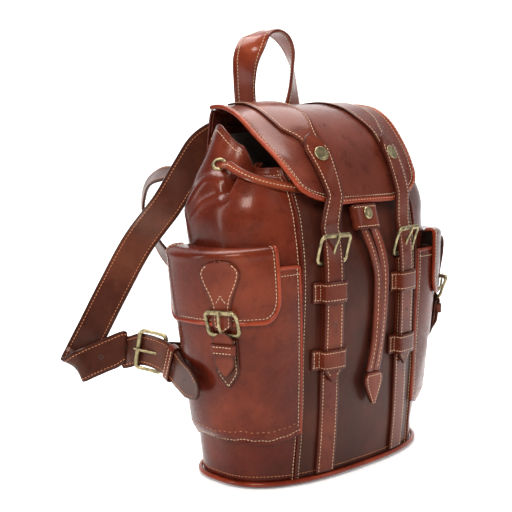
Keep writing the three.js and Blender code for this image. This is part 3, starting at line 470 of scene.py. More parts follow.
def stitch_template():
    rings = [(-0.5, 0.30, -0.55), (-0.38, 0.85, 0.05), (0.0, 1.0, 0.35), (0.38, 0.85, 0.05),
             (0.5, 0.30, -0.55)]
    sides = 6
    verts = [[x, r * math.cos(k / sides * 2 * math.pi), h + r * math.sin(k / sides * 2 * math.pi)]
             for x, r, h in rings for k in range(sides)]
    index = np.arange(len(rings) * sides).reshape(len(rings), sides)
    faces = grid_faces(index, wrap=True).tolist()
    return np.array(verts), faces, [index[0].tolist()[::-1], index[-1].tolist()]


STITCH = stitch_template()


def stitches(group, path, normals, pitch=3.4, length=2.4, radius=0.36):
    """Threads sewn along a path on a surface, kept by group until the end."""
    path, normals = np.asarray(path, float), np.asarray(normals, float)
    total = lengths_along(path)[-1]
    count = max(1, int(round(total / pitch)))
    fine, n = resample(path, 2 * count + 1, normals)
    middles, n = fine[1::2], unit(n[1::2])
    t = unit(fine[2::2] - fine[:-2:2])
    b = np.cross(n, t)
    verts, quads, caps = STITCH
    scale = length * (total / count) / pitch
    pts = (middles[:, None] + t[:, None] * verts[None, :, :1] * scale
           + b[:, None] * verts[None, :, 1:2] * radius + n[:, None] * verts[None, :, 2:] * radius)
    offset = np.arange(count)[:, None, None] * len(verts)
    faces = (np.array(quads)[None] + offset).reshape(-1, 4).tolist()
    for cap in caps:
        faces += (np.array(cap)[None] + offset[:, 0]).tolist()
    THREADS.setdefault(group, []).append((pts.reshape(-1, 3), faces))


def sew_all():
    for group, parts in THREADS.items():
        name, material, body, blend = group
        verts, faces, base = [], [], 0
        for v, f in parts:
            verts.append(v)
            faces += [[i + base for i in q] for q in f]
            base += len(v)
        mesh = bpy.data.meshes.new(name)
        mesh.from_pydata((np.vstack(verts) * MM).tolist(), [], faces)
        mesh.polygons.foreach_set("use_smooth", np.ones(len(mesh.polygons), bool))
        paint(mesh, material)
        piece = bpy.data.objects.new(name, mesh)
        bpy.context.scene.collection.objects.link(piece)
        if blend:
            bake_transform(piece)
        else:
            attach(piece, body)


def grid_line(grid, fraction, lift):
    """A path down a grid at a fraction of its width, lifted off its face, with the normals there."""
    normals = grid_normals(grid)
    cols = grid.shape[1] - 1
    at = np.broadcast_to(np.asarray(fraction, float), (len(grid),)) * cols
    i = np.clip(np.floor(at).astype(int), 0, cols - 1)
    w = (at - i)[:, None]
    k = np.arange(len(grid))
    n = unit(normals[k, i] * (1 - w) + normals[k, i + 1] * w)
    return grid[k, i] * (1 - w) + grid[k, i + 1] * w + n * lift, n


def sew_edges(group, grid, thickness, inset=2.3, side=1, rows=slice(None), **how):
    """A line of stitches along each long edge of a strap."""
    part = grid[rows]
    width = np.linalg.norm(part[:, -1] - part[:, 0], axis=1)
    share = np.minimum(inset / np.maximum(width, 1e-6), 0.5)
    for fraction in (share, 1 - share):
        path, n = grid_line(part, fraction, side * thickness / 2)
        stitches(group, path, n * side, **how)


# ---- Materials ----


def new_material(name):
    material = bpy.data.materials.new(name)
    material.use_nodes = True
    tree = material.node_tree
    tree.nodes.clear()
    shader = tree.nodes.new("ShaderNodeBsdfPrincipled")
    output = tree.nodes.new("ShaderNodeOutputMaterial")
    tree.links.new(shader.outputs["BSDF"], output.inputs["Surface"])
    coordinates = tree.nodes.new("ShaderNodeTexCoord").outputs["Object"]
    MATERIALS[name] = material
    return tree, shader, coordinates


def noise(tree, coordinates, scale, detail=4.0, roughness=0.55, stretch=None):
    if stretch:
        mapping = tree.nodes.new("ShaderNodeMapping")
        mapping.inputs["Scale"].default_value = stretch
        tree.links.new(coordinates, mapping.inputs["Vector"])
        coordinates = mapping.outputs["Vector"]
    node = tree.nodes.new("ShaderNodeTexNoise")
    node.inputs["Scale"].default_value = scale
    node.inputs["Detail"].default_value = detail
    node.inputs["Roughness"].default_value = roughness
    tree.links.new(coordinates, node.inputs["Vector"])
    return node.outputs["Fac"]


def ramp(tree, value, stops):
    node = tree.nodes.new("ShaderNodeValToRGB")
    elements = node.color_ramp.elements
    while len(elements) < len(stops):
        elements.new(0.5)
    for element, (at, color) in zip(elements, stops):
        element.position = at
        element.color = (*color, 1) if len(color) == 3 else color
    tree.links.new(value, node.inputs["Fac"])
    return node.outputs["Color"]


def calc(tree, operation, a, b=0.0, c=None):
    node = tree.nodes.new("ShaderNodeMath")
    node.operation = operation
    for socket, value in zip(node.inputs, (a, b, c)):
        if value is None:
            continue
        if isinstance(value, (int, float)):
            socket.default_value = value
        else:
            tree.links.new(value, socket)
    return node.outputs["Value"]


def mix(tree, factor, a, b, blend="MIX"):
    node = tree.nodes.new("ShaderNodeMix")
    node.data_type = "RGBA"
    node.blend_type = blend
    slots = (node.inputs[0], node.inputs[6], node.inputs[7])
    for socket, value in zip(slots, (factor, a, b)):
        if isinstance(value, (int, float)):
            socket.default_value = value
        elif isinstance(value, tuple):
            socket.default_value = (*value, 1)
        else:
            tree.links.new(value, socket)
    return node.outputs[2]


def bumped(tree, shader, layers):
    """Bump layers as (height, strength, distance in metres), one over another."""
    below = None
    for height, strength, distance in layers:
        node = tree.nodes.new("ShaderNodeBump")
        node.inputs["Strength"].default_value = strength
        node.inputs["Distance"].default_value = distance
        tree.links.new(height, node.inputs["Height"])
        if below:
            tree.links.new(below, node.inputs["Normal"])
        below = node.outputs["Normal"]
    tree.links.new(below, shader.inputs["Normal"])


def scaled(color, k):
    return tuple(min(1.0, c * k) for c in color)


def make_leather(name, color, light, roughness=0.36, coat=0.35, grain=0.5, crease=0.5, edges=0.55):
    tree, shader, at = new_material(name)
    clouds = noise(tree, at, 14, 5)
    mottle = noise(tree, at, 85, 6, 0.65)
    tone = ramp(tree, clouds, [(0.30, scaled(color, 0.62)), (0.5, color), (0.72, light)])
    speck = ramp(tree, mottle, [(0.34, (0.72, 0.70, 0.70)), (0.5, (1, 1, 1)), (0.68, (1.0, 0.97, 0.94))])
    toned = mix(tree, 0.75, tone, speck, "MULTIPLY")
    streaks = noise(tree, at, 40, 3, 0.5, stretch=(1.0, 1.0, 0.22))
    rubbed = ramp(tree, streaks, [(0.56, (0, 0, 0)), (0.74, (1, 1, 1))])
    toned = mix(tree, calc(tree, "MULTIPLY", rubbed, 0.22), toned, light)
    edge = tree.nodes.new("ShaderNodeAttribute")
    edge.attribute_name = "edge_mm"
    at_edge = ramp(tree, calc(tree, "DIVIDE", edge.outputs["Fac"], 3.0), [(0.0, (1, 1, 1)), (0.5, (0, 0, 0))])
    burnished = calc(tree, "MULTIPLY", at_edge, edges)
    toned = mix(tree, burnished, toned, scaled(color, 0.33))
    tree.links.new(toned, shader.inputs["Base Color"])
    rough = calc(tree, "MULTIPLY_ADD", mottle, 0.26, roughness - 0.13)
    rough = calc(tree, "MULTIPLY_ADD", clouds, 0.16, calc(tree, "SUBTRACT", rough, 0.08))
    tree.links.new(rough, shader.inputs["Roughness"])
    shader.inputs["Specular IOR Level"].default_value = 0.15
    shader.inputs["Specular Tint"].default_value = (1.0, 0.62, 0.48, 1)
    shader.inputs["Coat Weight"].default_value = coat
    shader.inputs["Coat Roughness"].default_value = 0.16
    cells = tree.nodes.new("ShaderNodeTexVoronoi")
    cells.feature = "SMOOTH_F1"
    cells.inputs["Scale"].default_value = 780
    tree.links.new(at, cells.inputs["Vector"])
    folds = noise(tree, at, 60, 5, 0.6, stretch=(1.0, 1.0, 0.45))
    lines = tree.nodes.new("ShaderNodeTexVoronoi")
    lines.feature = "DISTANCE_TO_EDGE"
    lines.inputs["Scale"].default_value = 95
    warp = tree.nodes.new("ShaderNodeVectorMath")
    warp.operation = "ADD"
    spread = tree.nodes.new("ShaderNodeVectorMath")
    spread.operation = "SCALE"
    spread.inputs["Scale"].default_value = 0.02
    wander = tree.nodes.new("ShaderNodeTexNoise")
    wander.inputs["Scale"].default_value = 70
    tree.links.new(at, wander.inputs["Vector"])
    tree.links.new(wander.outputs["Color"], spread.inputs[0])
    tree.links.new(at, warp.inputs[0])
    tree.links.new(spread.outputs["Vector"], warp.inputs[1])
    tree.links.new(warp.outputs["Vector"], lines.inputs["Vector"])
    cracks = ramp(tree, lines.outputs["Distance"], [(0.0, (0, 0, 0)), (0.30, (1, 1, 1))])
    bumped(tree, shader, [
        (folds, 0.42 * crease, 0.0018), (cracks, 0.05 * crease, 0.0004),
        (cells.outputs["Distance"], 0.35 * grain, 0.0005)])


def make_suede(name, color):
    tree, shader, at = new_material(name)
    clouds = noise(tree, at, 30, 5)
    nap = noise(tree, at, 900, 3, 0.7)
    tone = ramp(tree, clouds, [(0.32, scaled(color, 0.6)), (0.52, color), (0.7, scaled(color, 1.2))])
    tone = mix(tree, 0.5, tone, ramp(tree, nap, [(0.35, (0.65, 0.6, 0.55)), (0.65, (1, 1, 1))]), "MULTIPLY")
    tree.links.new(tone, shader.inputs["Base Color"])
    rough = calc(tree, "MULTIPLY_ADD", nap, 0.15, 0.82)
    tree.links.new(rough, shader.inputs["Roughness"])
    shader.inputs["Sheen Weight"].default_value = 0.35
    bumped(tree, shader, [(clouds, 0.3, 0.0012), (nap, 0.7, 0.0005)])


def make_brass(name, color, shade):
    tree, shader, at = new_material(name)
    patina = noise(tree, at, 160, 6, 0.7)
    scratches = noise(tree, at, 900, 3, 0.6, stretch=(1.0, 1.0, 0.12))
    tone = ramp(tree, patina, [(0.36, shade), (0.54, color), (0.75, scaled(color, 1.35))])
    tree.links.new(tone, shader.inputs["Base Color"])
    rough = calc(tree, "MULTIPLY_ADD", patina, -0.35, 0.50)
    rough = calc(tree, "MULTIPLY_ADD", scratches, 0.14, rough)
    tree.links.new(rough, shader.inputs["Roughness"])
    shader.inputs["Metallic"].default_value = 1.0
    bumped(tree, shader, [(patina, 0.25, 0.0005), (scratches, 0.2, 0.0002)])


def make_thread(name, color):
    tree, shader, at = new_material(name)
    fibres = noise(tree, at, 1400, 3, 0.7)
    dirt = noise(tree, at, 60, 4)
    tone = ramp(tree, fibres, [(0.35, scaled(color, 0.68)), (0.62, color)])
    tone = mix(tree, 0.6, tone, ramp(tree, dirt, [(0.35, (0.62, 0.55, 0.48)), (0.6, (1, 1, 1))]), "MULTIPLY")
    tree.links.new(tone, shader.inputs["Base Color"])
    tree.links.new(calc(tree, "MULTIPLY_ADD", fibres, 0.2, 0.62), shader.inputs["Roughness"])
    bumped(tree, shader, [(fibres, 0.5, 0.0002)])


make_leather("brown", (0.066, 0.0085, 0.0040), (0.135, 0.022, 0.009), roughness=0.27, coat=0.16,
             crease=0.45, edges=0.3)
make_leather("front", (0.040, 0.0098, 0.0062), (0.072, 0.018, 0.011), roughness=0.36, coat=0.07, crease=0.4,
             edges=0.3)
make_leather("flap", (0.092, 0.0175, 0.0095), (0.150, 0.034, 0.019), roughness=0.30, coat=0.16, crease=0.45,
             edges=0.2)
make_leather("pocket", (0.076, 0.0100, 0.0044), (0.150, 0.026, 0.0095), roughness=0.28, coat=0.14,
             crease=0.6, grain=0.6, edges=0.3)
make_leather("strap", (0.086, 0.0135, 0.0060), (0.150, 0.030, 0.013), roughness=0.30, coat=0.14,
             crease=0.25, edges=0.7)
make_leather("shoulder", (0.046, 0.0112, 0.0062), (0.100, 0.028, 0.014), roughness=0.34, coat=0.1,
             crease=0.3, edges=0.5)
make_leather("handle", (0.140, 0.0190, 0.0068), (0.225, 0.042, 0.015), roughness=0.32, coat=0.25,
             crease=0.3, edges=0.5)
make_leather("trim", (0.175, 0.0200, 0.0060), (0.280, 0.043, 0.0135), roughness=0.32, coat=0.25,
             crease=0.25, edges=0.0)
make_leather("lace", (0.125, 0.0190, 0.0075), (0.210, 0.042, 0.016), roughness=0.34, coat=0.2, crease=0.3,
             edges=0.55)
make_suede("suede", (0.42, 0.27, 0.15))
# The lining suede at about a fifth of the suede's colour: painted shade for the inside of the bag. The inner
# pocket and the other linings keep the suede's own colour.
make_suede("lining", (0.085, 0.055, 0.036))
make_suede("flesh", (0.27, 0.165, 0.105))
make_suede("board", (0.16, 0.12, 0.08))
make_brass("brass", (0.31, 0.25, 0.135), (0.11, 0.095, 0.05))
make_thread("cream_thread", (0.64, 0.44, 0.28))
make_thread("orange_thread", (0.48, 0.17, 0.065))

CREAM_BAG = ("stitches_bag", "cream_thread", "bag", None)
ORANGE_BAG = ("stitches_bag_orange", "orange_thread", "bag", None)
FLAP_THREAD = ("stitches_flap", "cream_thread", "flap", None)
TOGGLE_THREAD = ("stitches_toggle", "cream_thread", "toggle", None)
HANDLE_THREAD = ("stitches_handle", "cream_thread", "handle", None)

# ---- The laces, which are the free cords ----

LACE_PATHS = {
    "left": [[-12, -57.4, 266], [-12, -59.6, 260], [-12, -64.2, 253.5], [-11.5, -68.4, 240], [-8, -71, 229],
             [0, -73, 212], [8.2, -73, 190], [9.4, -72.8, 165], [8, -72.8, 140], [4.5, -73, 118],
             [-2.5, -73.4, 97]],
    "right": [[0, -57.4, 266], [0, -59.6, 260], [0.4, -64.2, 253.5], [2, -68.4, 240], [6.5, -71, 229],
              [13, -73, 212], [19, -73, 190], [19.2, -72.8, 165], [17.4, -72.8, 140], [13.7, -73, 118],
              [7, -73.4, 97]],
}
NECK_LACE_WIDTH = 7.0


def flat_band(path, normals, width, taper=None):
    """A grid across a path: its points spread sideways by the width."""
    t = unit(np.gradient(path, axis=0))
    across = unit(np.cross(t, normals))
    k = np.ones(len(path)) if taper is None else taper
    w = np.linspace(-0.5, 0.5, 9)
    return path[:, None] + across[:, None] * (w[None, :, None] * (width * k)[:, None, None])


TAB_ROWS = [[95.5, 8], [92, 12.5], [86, 12], [78, 8.5], [71, 4.5], [66, 1.2]]
TAB_AT = (2.2, -73.4)


def make_tab():
    z = np.linspace(95.5, 66, 40)
    rows = np.array(TAB_ROWS)[::-1]
    half = np.interp(z, rows[:, 0], rows[:, 1])
    half = np.convolve(np.pad(half, 2, "edge"), [0.15, 0.2, 0.3, 0.2, 0.15], "valid")
    w = np.linspace(-1, 1, 21)
    front = np.stack([TAB_AT[0] + half[:, None] * w, np.broadcast_to(TAB_AT[1] - 1.0, (40, 21)),
                      np.broadcast_to(z[:, None], (40, 21))], -1)
    front[..., 1] -= 0.5 * np.cos(w * 1.5)[None, :]
    body = add_shell("cord_tab_face", front, 1.9, "lace", "bag", nodes=("cord_end_tab",), slot="trim_leather")
    back = front.copy()
    back[..., 1] += 2.6
    under = add_shell("cord_tab_back", back, 1.7, "shoulder", "bag")
    outline = np.vstack([front[:, 2], front[::-1, -3]])
    normal = np.tile(vec(0, -1, 0), (len(outline), 1))
    outline[:, 1] -= 1.0
    stitches(CREAM_BAG, outline[2:-2], normal[2:-2], pitch=3.2, length=2.3, radius=0.36)
    top = front[3, 3:-3] + vec(0, -1.0, 0)
    stitches(CREAM_BAG, top, np.tile(vec(0, -1, 0), (len(top), 1)), pitch=3.2, length=2.3, radius=0.36)
    return [body, under]


def make_laces(tab):
    for side, route in LACE_PATHS.items():
        path = resample(centripetal(route, np.linspace(0, 1, 400)), 120)
        out = np.tile(vec(0, -1, 0.08), (len(path), 1))
        lean = np.sin(np.linspace(0, 7, len(path)) + (0 if side == "left" else 2)) * 0.16
        out = unit(out + np.stack([lean, 0 * lean, 0 * lean], 1))
        grid = flat_band(path, out, LACE_WIDTH)
        lace = add_shell(f"lace_{side}", grid, 2.2, "lace", "bag", nodes=(f"drawcord_end_{side}",),
                         slot="trim_leather")
        line, n = grid_line(grid, 0.5, 0)
        n = n * np.sign((n @ vec(0, -1, 0)).mean())
        stitches(CREAM_BAG, (line + n * 1.1)[8:-2], n[8:-2], pitch=4.2, length=2.8, radius=0.36)


def make_neck_cord():
    deg = np.linspace(EYELET_ANGLE + 1.5, 360 - (EYELET_ANGLE - 180) - 1.5, 260)
    near_end = np.minimum(deg - deg[0], deg[-1] - deg)
    out = 2.8 - 4.4 * (1 - smooth(near_end, 0, 5))
    line = on_body(deg, mouth_at(deg) - 13, out)
    path, normals = resample(line, 300, body_normal(deg, mouth_at(deg) - 13))
    grid = flat_band(path, unit(normals), NECK_LACE_WIDTH)
    cord = add_shell("neck_drawcord_lace", grid, 2.0, "lace", "bag", nodes=("neck_drawcord",),
                     slot="trim_leather")
    stitches(CREAM_BAG, (path + unit(normals) * 1.0)[4:-4], unit(normals)[4:-4])


make_laces(make_tab())
make_neck_cord()

# ---- The body ----

WALL_BOTTOM = 3.0
SEAM_GAP = 0.25


def wall(start, end, columns, rows=110):
    """A wall panel's middle surface between two seams, each an angle by height."""
    v = 1 - (1 - np.linspace(0, 1, rows)) ** 1.25
    w = np.linspace(0, 1, columns)
    rim = rim_at(start(MOUTH_HEIGHT) * (1 - w) + end(MOUTH_HEIGHT) * w)
    z = WALL_BOTTOM + v[:, None] * (rim[None] - WALL_BOTTOM)
    deg = start(z) * (1 - w)[None] + end(z) * w[None]
    return deg, z


def const(value):
    return lambda z: value + 0 * np.asarray(z, float)


WALLS = {
    "front_panel": (lambda z: seam_angle(z) + SEAM_GAP, lambda z: 540 - seam_angle(z) - SEAM_GAP, 90,
                    "front", "dark_leather"),
    "back_panel": (const(SEAM_BACK + SEAM_GAP), const(180 - SEAM_BACK - SEAM_GAP), 60, "brown",
                   "brown_leather"),
    "side_panel_left": (const(180 - SEAM_BACK + SEAM_GAP), lambda z: seam_angle(z) - SEAM_GAP, 90, "brown",
                        "brown_leather"),
    "side_panel_right": (lambda z: 540 - seam_angle(z) + SEAM_GAP, const(360 + SEAM_BACK - SEAM_GAP), 90,
                         "brown",
                         "brown_leather"),
}


def make_body():
    for name, (start, end, columns, material, slot) in WALLS.items():
        deg, z = wall(start, end, columns)
        grid = on_body(deg, z, -LEATHER / 2, worn=1)
        add_shell(name + "_leather", grid, LEATHER - 0.1, material, "bag", nodes=(name,), slot=slot)

    seam_z = np.linspace(5, 292, 200)
    for side in (LEFT, RIGHT):
        deg = seam_angle(seam_z) if side == LEFT else 540 - seam_angle(seam_z)
        inward = 1 if side == LEFT else -1
        path = on_body(deg, seam_z, 0.7, worn=1)
        normals = body_normal(deg, seam_z)
        label = "left" if side == LEFT else "right"
        add_sweep(f"front_seam_piping_{label}", path, ellipse(1.7, 1.4, 12), "brown", "bag", normals)
        for offset, group in ((1.75, CREAM_BAG), (-1.9, CREAM_BAG)):
            line_deg = deg + inward * offset
            stitches(group, on_body(line_deg, seam_z, 0.12, worn=1), normals)
        back = 180 - SEAM_BACK if side == LEFT else SEAM_BACK
        back_z = np.linspace(5, 318, 200)
        seam = on_body(const(back)(back_z), back_z, 0.3, worn=1)
        add_sweep(f"back_seam_piping_{label}", seam, ellipse(1.5, 1.3, 10), "brown", "bag",
                  body_normal(back + 0 * back_z, back_z))
        for offset in (-1.8, 1.8):
            d = back + offset + 0 * back_z
            stitches(ORANGE_BAG, on_body(d, back_z, 0.12, worn=1), body_normal(d, back_z))

    deg = np.linspace(0, 360, 361)[:-1]
    base = on_body(deg, 0, -0.2)
    rings = [base * [k, k, 0] + [0, 0, h] for k, h in (
        (0.02, 0.0), (0.5, 0.0), (0.97, 0.0), (0.99, 0.25), (1.0, 0.9), (1.0, 1.7), (0.985, 2.3),
        (0.9, 2.4), (0.02, 2.4))]
    index = np.arange(len(rings) * len(deg)).reshape(len(rings), -1)
    add("base_leather", np.vstack(rings), grid_faces(index, wrap=True), "front", "bag",
        nodes=("base_panel",), slot="dark_leather")
    inner = on_body(deg, 0, -3.2)
    rings = [inner * [k, k, 0] + [0, 0, h] for k, h in ((0.02, 2.8), (1, 2.8), (1, 4.2), (0.02, 4.2))]
    index = np.arange(len(rings) * len(deg)).reshape(len(rings), -1)
    add("base_board", np.vstack(rings), grid_faces(index, wrap=True), "board", "bag",
        nodes=("base_stiffener",), slot="board")
    path = on_body(deg, 5, 2.9)
    add_sweep("base_cord_piping", path, ellipse(2.2, 2.2, 12), "trim", "bag", closed=True,
              nodes=("base_piping",),
              slot="trim_leather")
    stitch_deg = np.linspace(0, 360, 720)
    stitches(ORANGE_BAG, on_body(stitch_deg, 11.0, 0.15, worn=1),
             body_normal(stitch_deg, 11.0 + 0 * stitch_deg))

    rim_deg = np.linspace(0, 360, 541)[:-1]
    rim_path = on_body(rim_deg, rim_at(rim_deg) - 0.3, -1.1, worn=1)
    add_sweep("mouth_binding", rim_path, ellipse(1.9, 1.3, 12), "brown", "bag", closed=True)
    stitches(CREAM_BAG, on_body(rim_deg, rim_at(rim_deg) - 5.2, 0.15, worn=1),
             body_normal(rim_deg, rim_at(rim_deg)))

    floor = 2.4 + 1.4 + 0.9
    ring_deg = np.linspace(0, 360, 241)[:-1]
    heights = np.linspace(0, 1, 60)
    # The lining cloth and its floor take the darkened lining suede: painted shade for the bag's inside.
    skin = np.stack([on_body(ring_deg, floor + v * (rim_at(ring_deg) - 7 - floor), -4.3, worn=1)
                     for v in heights])
    add_shell("lining_cloth", skin, 1.0, "lining", "bag", wrap=True, nodes=("lining",), slot="lining")
    ground = on_body(ring_deg, floor, -4.6)
    rings = [ground * [k, k, 0] + [0, 0, h] for k, h in ((0.02, floor), (0.5, floor), (1, floor),
                                                         (1, floor + 1), (0.02, floor + 1))]
    index = np.arange(len(rings) * len(ring_deg)).reshape(len(rings), -1)
    add("lining_floor", np.vstack(rings), grid_faces(index, wrap=True), "lining", "bag")
    deg, z = np.meshgrid(np.linspace(62, 118, 40), np.linspace(120, 235, 50))
    add_shell("inner_pocket_leather", on_body(deg, z, -6.4), 1.2, "suede", "bag", nodes=("inner_pocket",),
              slot="lining")
    stitches(CREAM_BAG, on_body(np.linspace(63, 117, 40), 231 + np.zeros(40), -7.2),
             -body_normal(np.linspace(63, 117, 40), 231 + np.zeros(40)))

    for side, t in (("left", EYELET_ANGLE + 1.5), ("right", 178.5 - EYELET_ANGLE)):
        z = float(mouth_at(t)) - EYELET_DROP
        centre = on_body(t, z, 0.3, worn=1)
        step = 2.0
        tangent = on_body(t + step, z, 0, worn=1) - on_body(t - step, z, 0, worn=1)
        rising = on_body(t, z + step, 0, worn=1) - on_body(t, z - step, 0, worn=1)
        turned_ring(f"eyelet_ring_{side}", centre, unit(np.cross(tangent, rising)),
                    [[4.1, -1.6], [6.9, 0], [7.1, 0.5], [6.6, 1.2], [5.6, 1.6], [4.6, 1.3], [4.1, 0.4]],
                    "brass", "bag",
                    nodes=(f"eyelet_{side}",), slot="brass")


def turned_ring(name, at, out, profile, material, body, sides=36, **more):
    """A ring or a head of revolution about the way out, from a profile of radius and height."""
    out = unit(out)
    a = unit(np.cross(out, vec(0.2, 0.1, 0.97)))
    b = np.cross(out, a)
    t = np.linspace(0, 2 * math.pi, sides + 1)[:-1]
    rings = np.stack([at + out * h + (a * np.cos(t)[:, None] + b * np.sin(t)[:, None]) * max(r, 0.02) for r,
                      h in profile])
    index = np.arange(rings.shape[0] * sides).reshape(rings.shape[0], sides)
    return add(name, rings.reshape(-1, 3), grid_faces(np.vstack([index, index[:1]]), wrap=True), material,
               body, **more)


make_body()

# ---- The flap ----

FLAP_CURVES = {"middle": FLAP_MIDDLE, "left": FLAP_LEFT, "right": FLAP_RIGHT}
FOLD_DEPTH = 2.3
FLAP_CENTRE = vec(0, 0, 320)


def flap_at(s, x):
    s, x = np.broadcast_arrays(np.asarray(s, float), np.asarray(x, float))
    middle, left, right = (spline(FLAP_CURVES[k], s) for k in ("middle", "left", "right"))
    edge = np.where((x < 0)[..., None], left, right)
    k = smooth(np.abs(x), 34, FLAP_HALF_WIDTH)[..., None]
    p = middle * (1 - k) + edge * k
    return np.stack([x, p[..., 0], p[..., 1]], -1)


def on_flap(s, x, out=0.0):
    s, x = np.asarray(s, float), np.asarray(x, float)
    along = flap_at(np.minimum(s + 0.01, 1), x) - flap_at(np.maximum(s - 0.01, 0), x)
    across = flap_at(s, x + 1) - flap_at(s, x - 1)
    normal = -unit(np.cross(across, along))
    return flap_at(s, x) + normal * np.asarray(out, float)[..., None], normal


def flap_length(x, z):
    x, z = np.broadcast_arrays(np.asarray(x, float), np.asarray(z, float))
    low, high = np.full(x.shape, 0.3), np.ones(x.shape)
    for _ in range(30):
        middle = (low + high) / 2
        above = flap_at(middle, x)[..., 2] > z
        low, high = np.where(above, middle, low), np.where(above, high, middle)
    return low


def flap_half_width(s):
    left = (1 - np.asarray(s, float)) * 135
    cut = np.maximum(0, FLAP_CORNER - left)
    return FLAP_HALF_WIDTH - FLAP_CORNER + np.sqrt(np.maximum(FLAP_CORNER ** 2 - cut ** 2 * 0.98, 0))


def make_flap_fold():
    """The supple strip inside the fold, sewn to the yoke below and to the flap above."""
    x = np.linspace(-82, 82, 61)
    curl = YOKE_CURL * np.abs(x / YOKE_HALF_WIDTH) ** 5
    on_yoke = [np.stack([x, y - FOLD_DEPTH - curl, z + 0 * x], -1) for y, z in YOKE[2:5]]
    on_lining = [on_flap(s, x, -FOLD_DEPTH)[0] for s in (0.03, 0.07)]
    corners = np.array(on_yoke + on_lining)
    grid = np.stack([centripetal(corners[:, k], np.linspace(0, 1, 24)) for k in range(len(x))], 1)
    add_shell("flap_fold", grid, 1.1, "brown", blend=("bag", "flap", (0, 0.0634, 0.336), (0, 0.054, 0.3465)))


def make_flap():
    s = np.concatenate([np.linspace(0, 0.8, 60), 1 - 0.2 * (1 - np.linspace(0, 1, 40)[1:]) ** 1.8])
    w = np.linspace(-1, 1, 81)
    x = w[None] * flap_half_width(s)[:, None]
    ss = np.broadcast_to(s[:, None], x.shape)
    wave = 0.35 * np.sin(x * 0.07 + ss * 9) * np.sin(ss * 14 + 1) * smooth(ss, 0.05, 0.2)
    top, _ = on_flap(ss, x, 0.35 + wave)
    add_shell("flap_leather", top, 1.6, "flap", "flap", nodes=("main_flap",), slot="brown_leather")
    inset = x * (1 - 1.5 / 86)
    under, _ = on_flap(np.minimum(ss, 0.99), inset, -0.95 + wave)
    add_shell("flap_lining", under, 0.9, "suede", "flap")

    border_s = np.concatenate([np.linspace(0.02, 1, 110), np.full(60, 1.0), np.linspace(1, 0.02, 110)])
    end_half = flap_half_width(1.0)
    border_x = np.concatenate([-flap_half_width(border_s[:110]), np.linspace(-end_half, end_half, 60),
                               flap_half_width(border_s[170:])])
    rim, rim_normal = on_flap(border_s, border_x, 0.1)
    rim, rim_normal = resample(rim, 420, rim_normal)
    add_sweep("flap_binding", rim, ellipse(2.5, 2.15, 14, 0.85), "trim", "flap", rim_normal)
    t = unit(np.gradient(rim, axis=0))
    inward = unit(np.cross(rim_normal, t))
    inward *= np.sign(np.sum(inward * (FLAP_CENTRE - rim), 1, keepdims=True))
    stitches(FLAP_THREAD, rim + inward * 4.2 + rim_normal * 1.1, rim_normal)
    stitches(FLAP_THREAD, rim + rim_normal * 2.0 + inward * 0.7, rim_normal, pitch=4.2, length=2.6,
             radius=0.3)

    yoke = np.array(YOKE)
    t = np.linspace(0, 1, 30)
    line = centripetal(yoke, t)
    across = np.linspace(-YOKE_HALF_WIDTH, YOKE_HALF_WIDTH, 61)
    grid = np.stack([np.broadcast_to(across, (30, 61)),
                     line[:, :1] - YOKE_CURL * np.abs(across / YOKE_HALF_WIDTH)[None] ** 5,
                     np.broadcast_to(line[:, 1:], (30, 61))], -1)
    add_shell("flap_yoke_leather", grid, FLAP_LEATHER, "brown", "bag", nodes=("flap_yoke",),
              slot="brown_leather")
    normals = grid_normals(grid)
    sign = np.sign(normals[..., 1].mean())
    for row in (2, 4):
        stitches(CREAM_BAG, grid[row] + normals[row] * sign * 1.25, normals[row] * sign)
    make_flap_fold()

    for side, sign in SIDES:
        end = float(flap_length(sign * RIVET_X, OVERLAY_END))
        s = np.linspace(0.02, end, 90)
        width = OVERLAY_WIDTH - 12.5 * smooth(s, end - 0.26, end - 0.13)
        ss = np.broadcast_to(s[:, None], (90, 13))
        xx = sign * RIVET_X + np.linspace(-0.5, 0.5, 13)[None] * width[:, None]
        grid, _ = on_flap(ss, xx, FLAP_LEATHER / 2 + GAP + 1.1)
        add_shell(f"overlay_strap_{side}", grid, 1.8, "strap", "flap", nodes=(f"flap_overlay_{side}",),
                  slot="trim_leather")
        sew_faced(FLAP_THREAD, grid, 1.8, lambda p: unit(p - vec(0, 20, 250)))

        at_s = float(flap_length(sign * RIVET_X, RIVET_HEIGHT))
        at, out = on_flap(at_s, sign * RIVET_X, CLOSING_LIFT + 1.4)
        turned_ring(f"flap_rivet_head_{side}", at, out, [
            [0, -0.4], [6.4, -0.4], [7.1, 0.15], [7.2, 0.7], [6.9, 1.15], [6.2, 1.4], [5.4, 1.35],
            [5.0, 1.15], [2.5, 1.2], [0, 1.25]],
            "brass", "flap", nodes=(f"flap_rivet_{side}",), slot="brass")


def sew_faced(group, grid, thickness, outward_of, inset=2.3, rows=slice(None), **how):
    """Both long edges sewn, on the face that looks the given way."""
    normals = grid_normals(grid)
    middle = grid[len(grid) // 2, grid.shape[1] // 2]
    facing = outward_of(middle)
    side = 1 if np.dot(normals[len(grid) // 2, grid.shape[1] // 2], facing) > 0 else -1
    sew_edges(group, grid, thickness, inset=inset, side=side, rows=rows, **how)
    return side


make_flap()

# ---- The closing straps, the straps below them and their keepers ----


def front_buckle(sign):
    base = on_front(sign * STRAP_X, FRONT_BUCKLE_BAR, 0)
    at = on_front(sign * STRAP_X, FRONT_BUCKLE_BAR, FRONT_BUCKLE_LIFT)
    return tilted(at, vec(0, 0, 1), unit(at - base), BUCKLE_TILT)


def tilted(at, up, out, degrees):
    side = np.cross(up, out)
    return at, turn_about(up, side, degrees), turn_about(out, side, degrees)


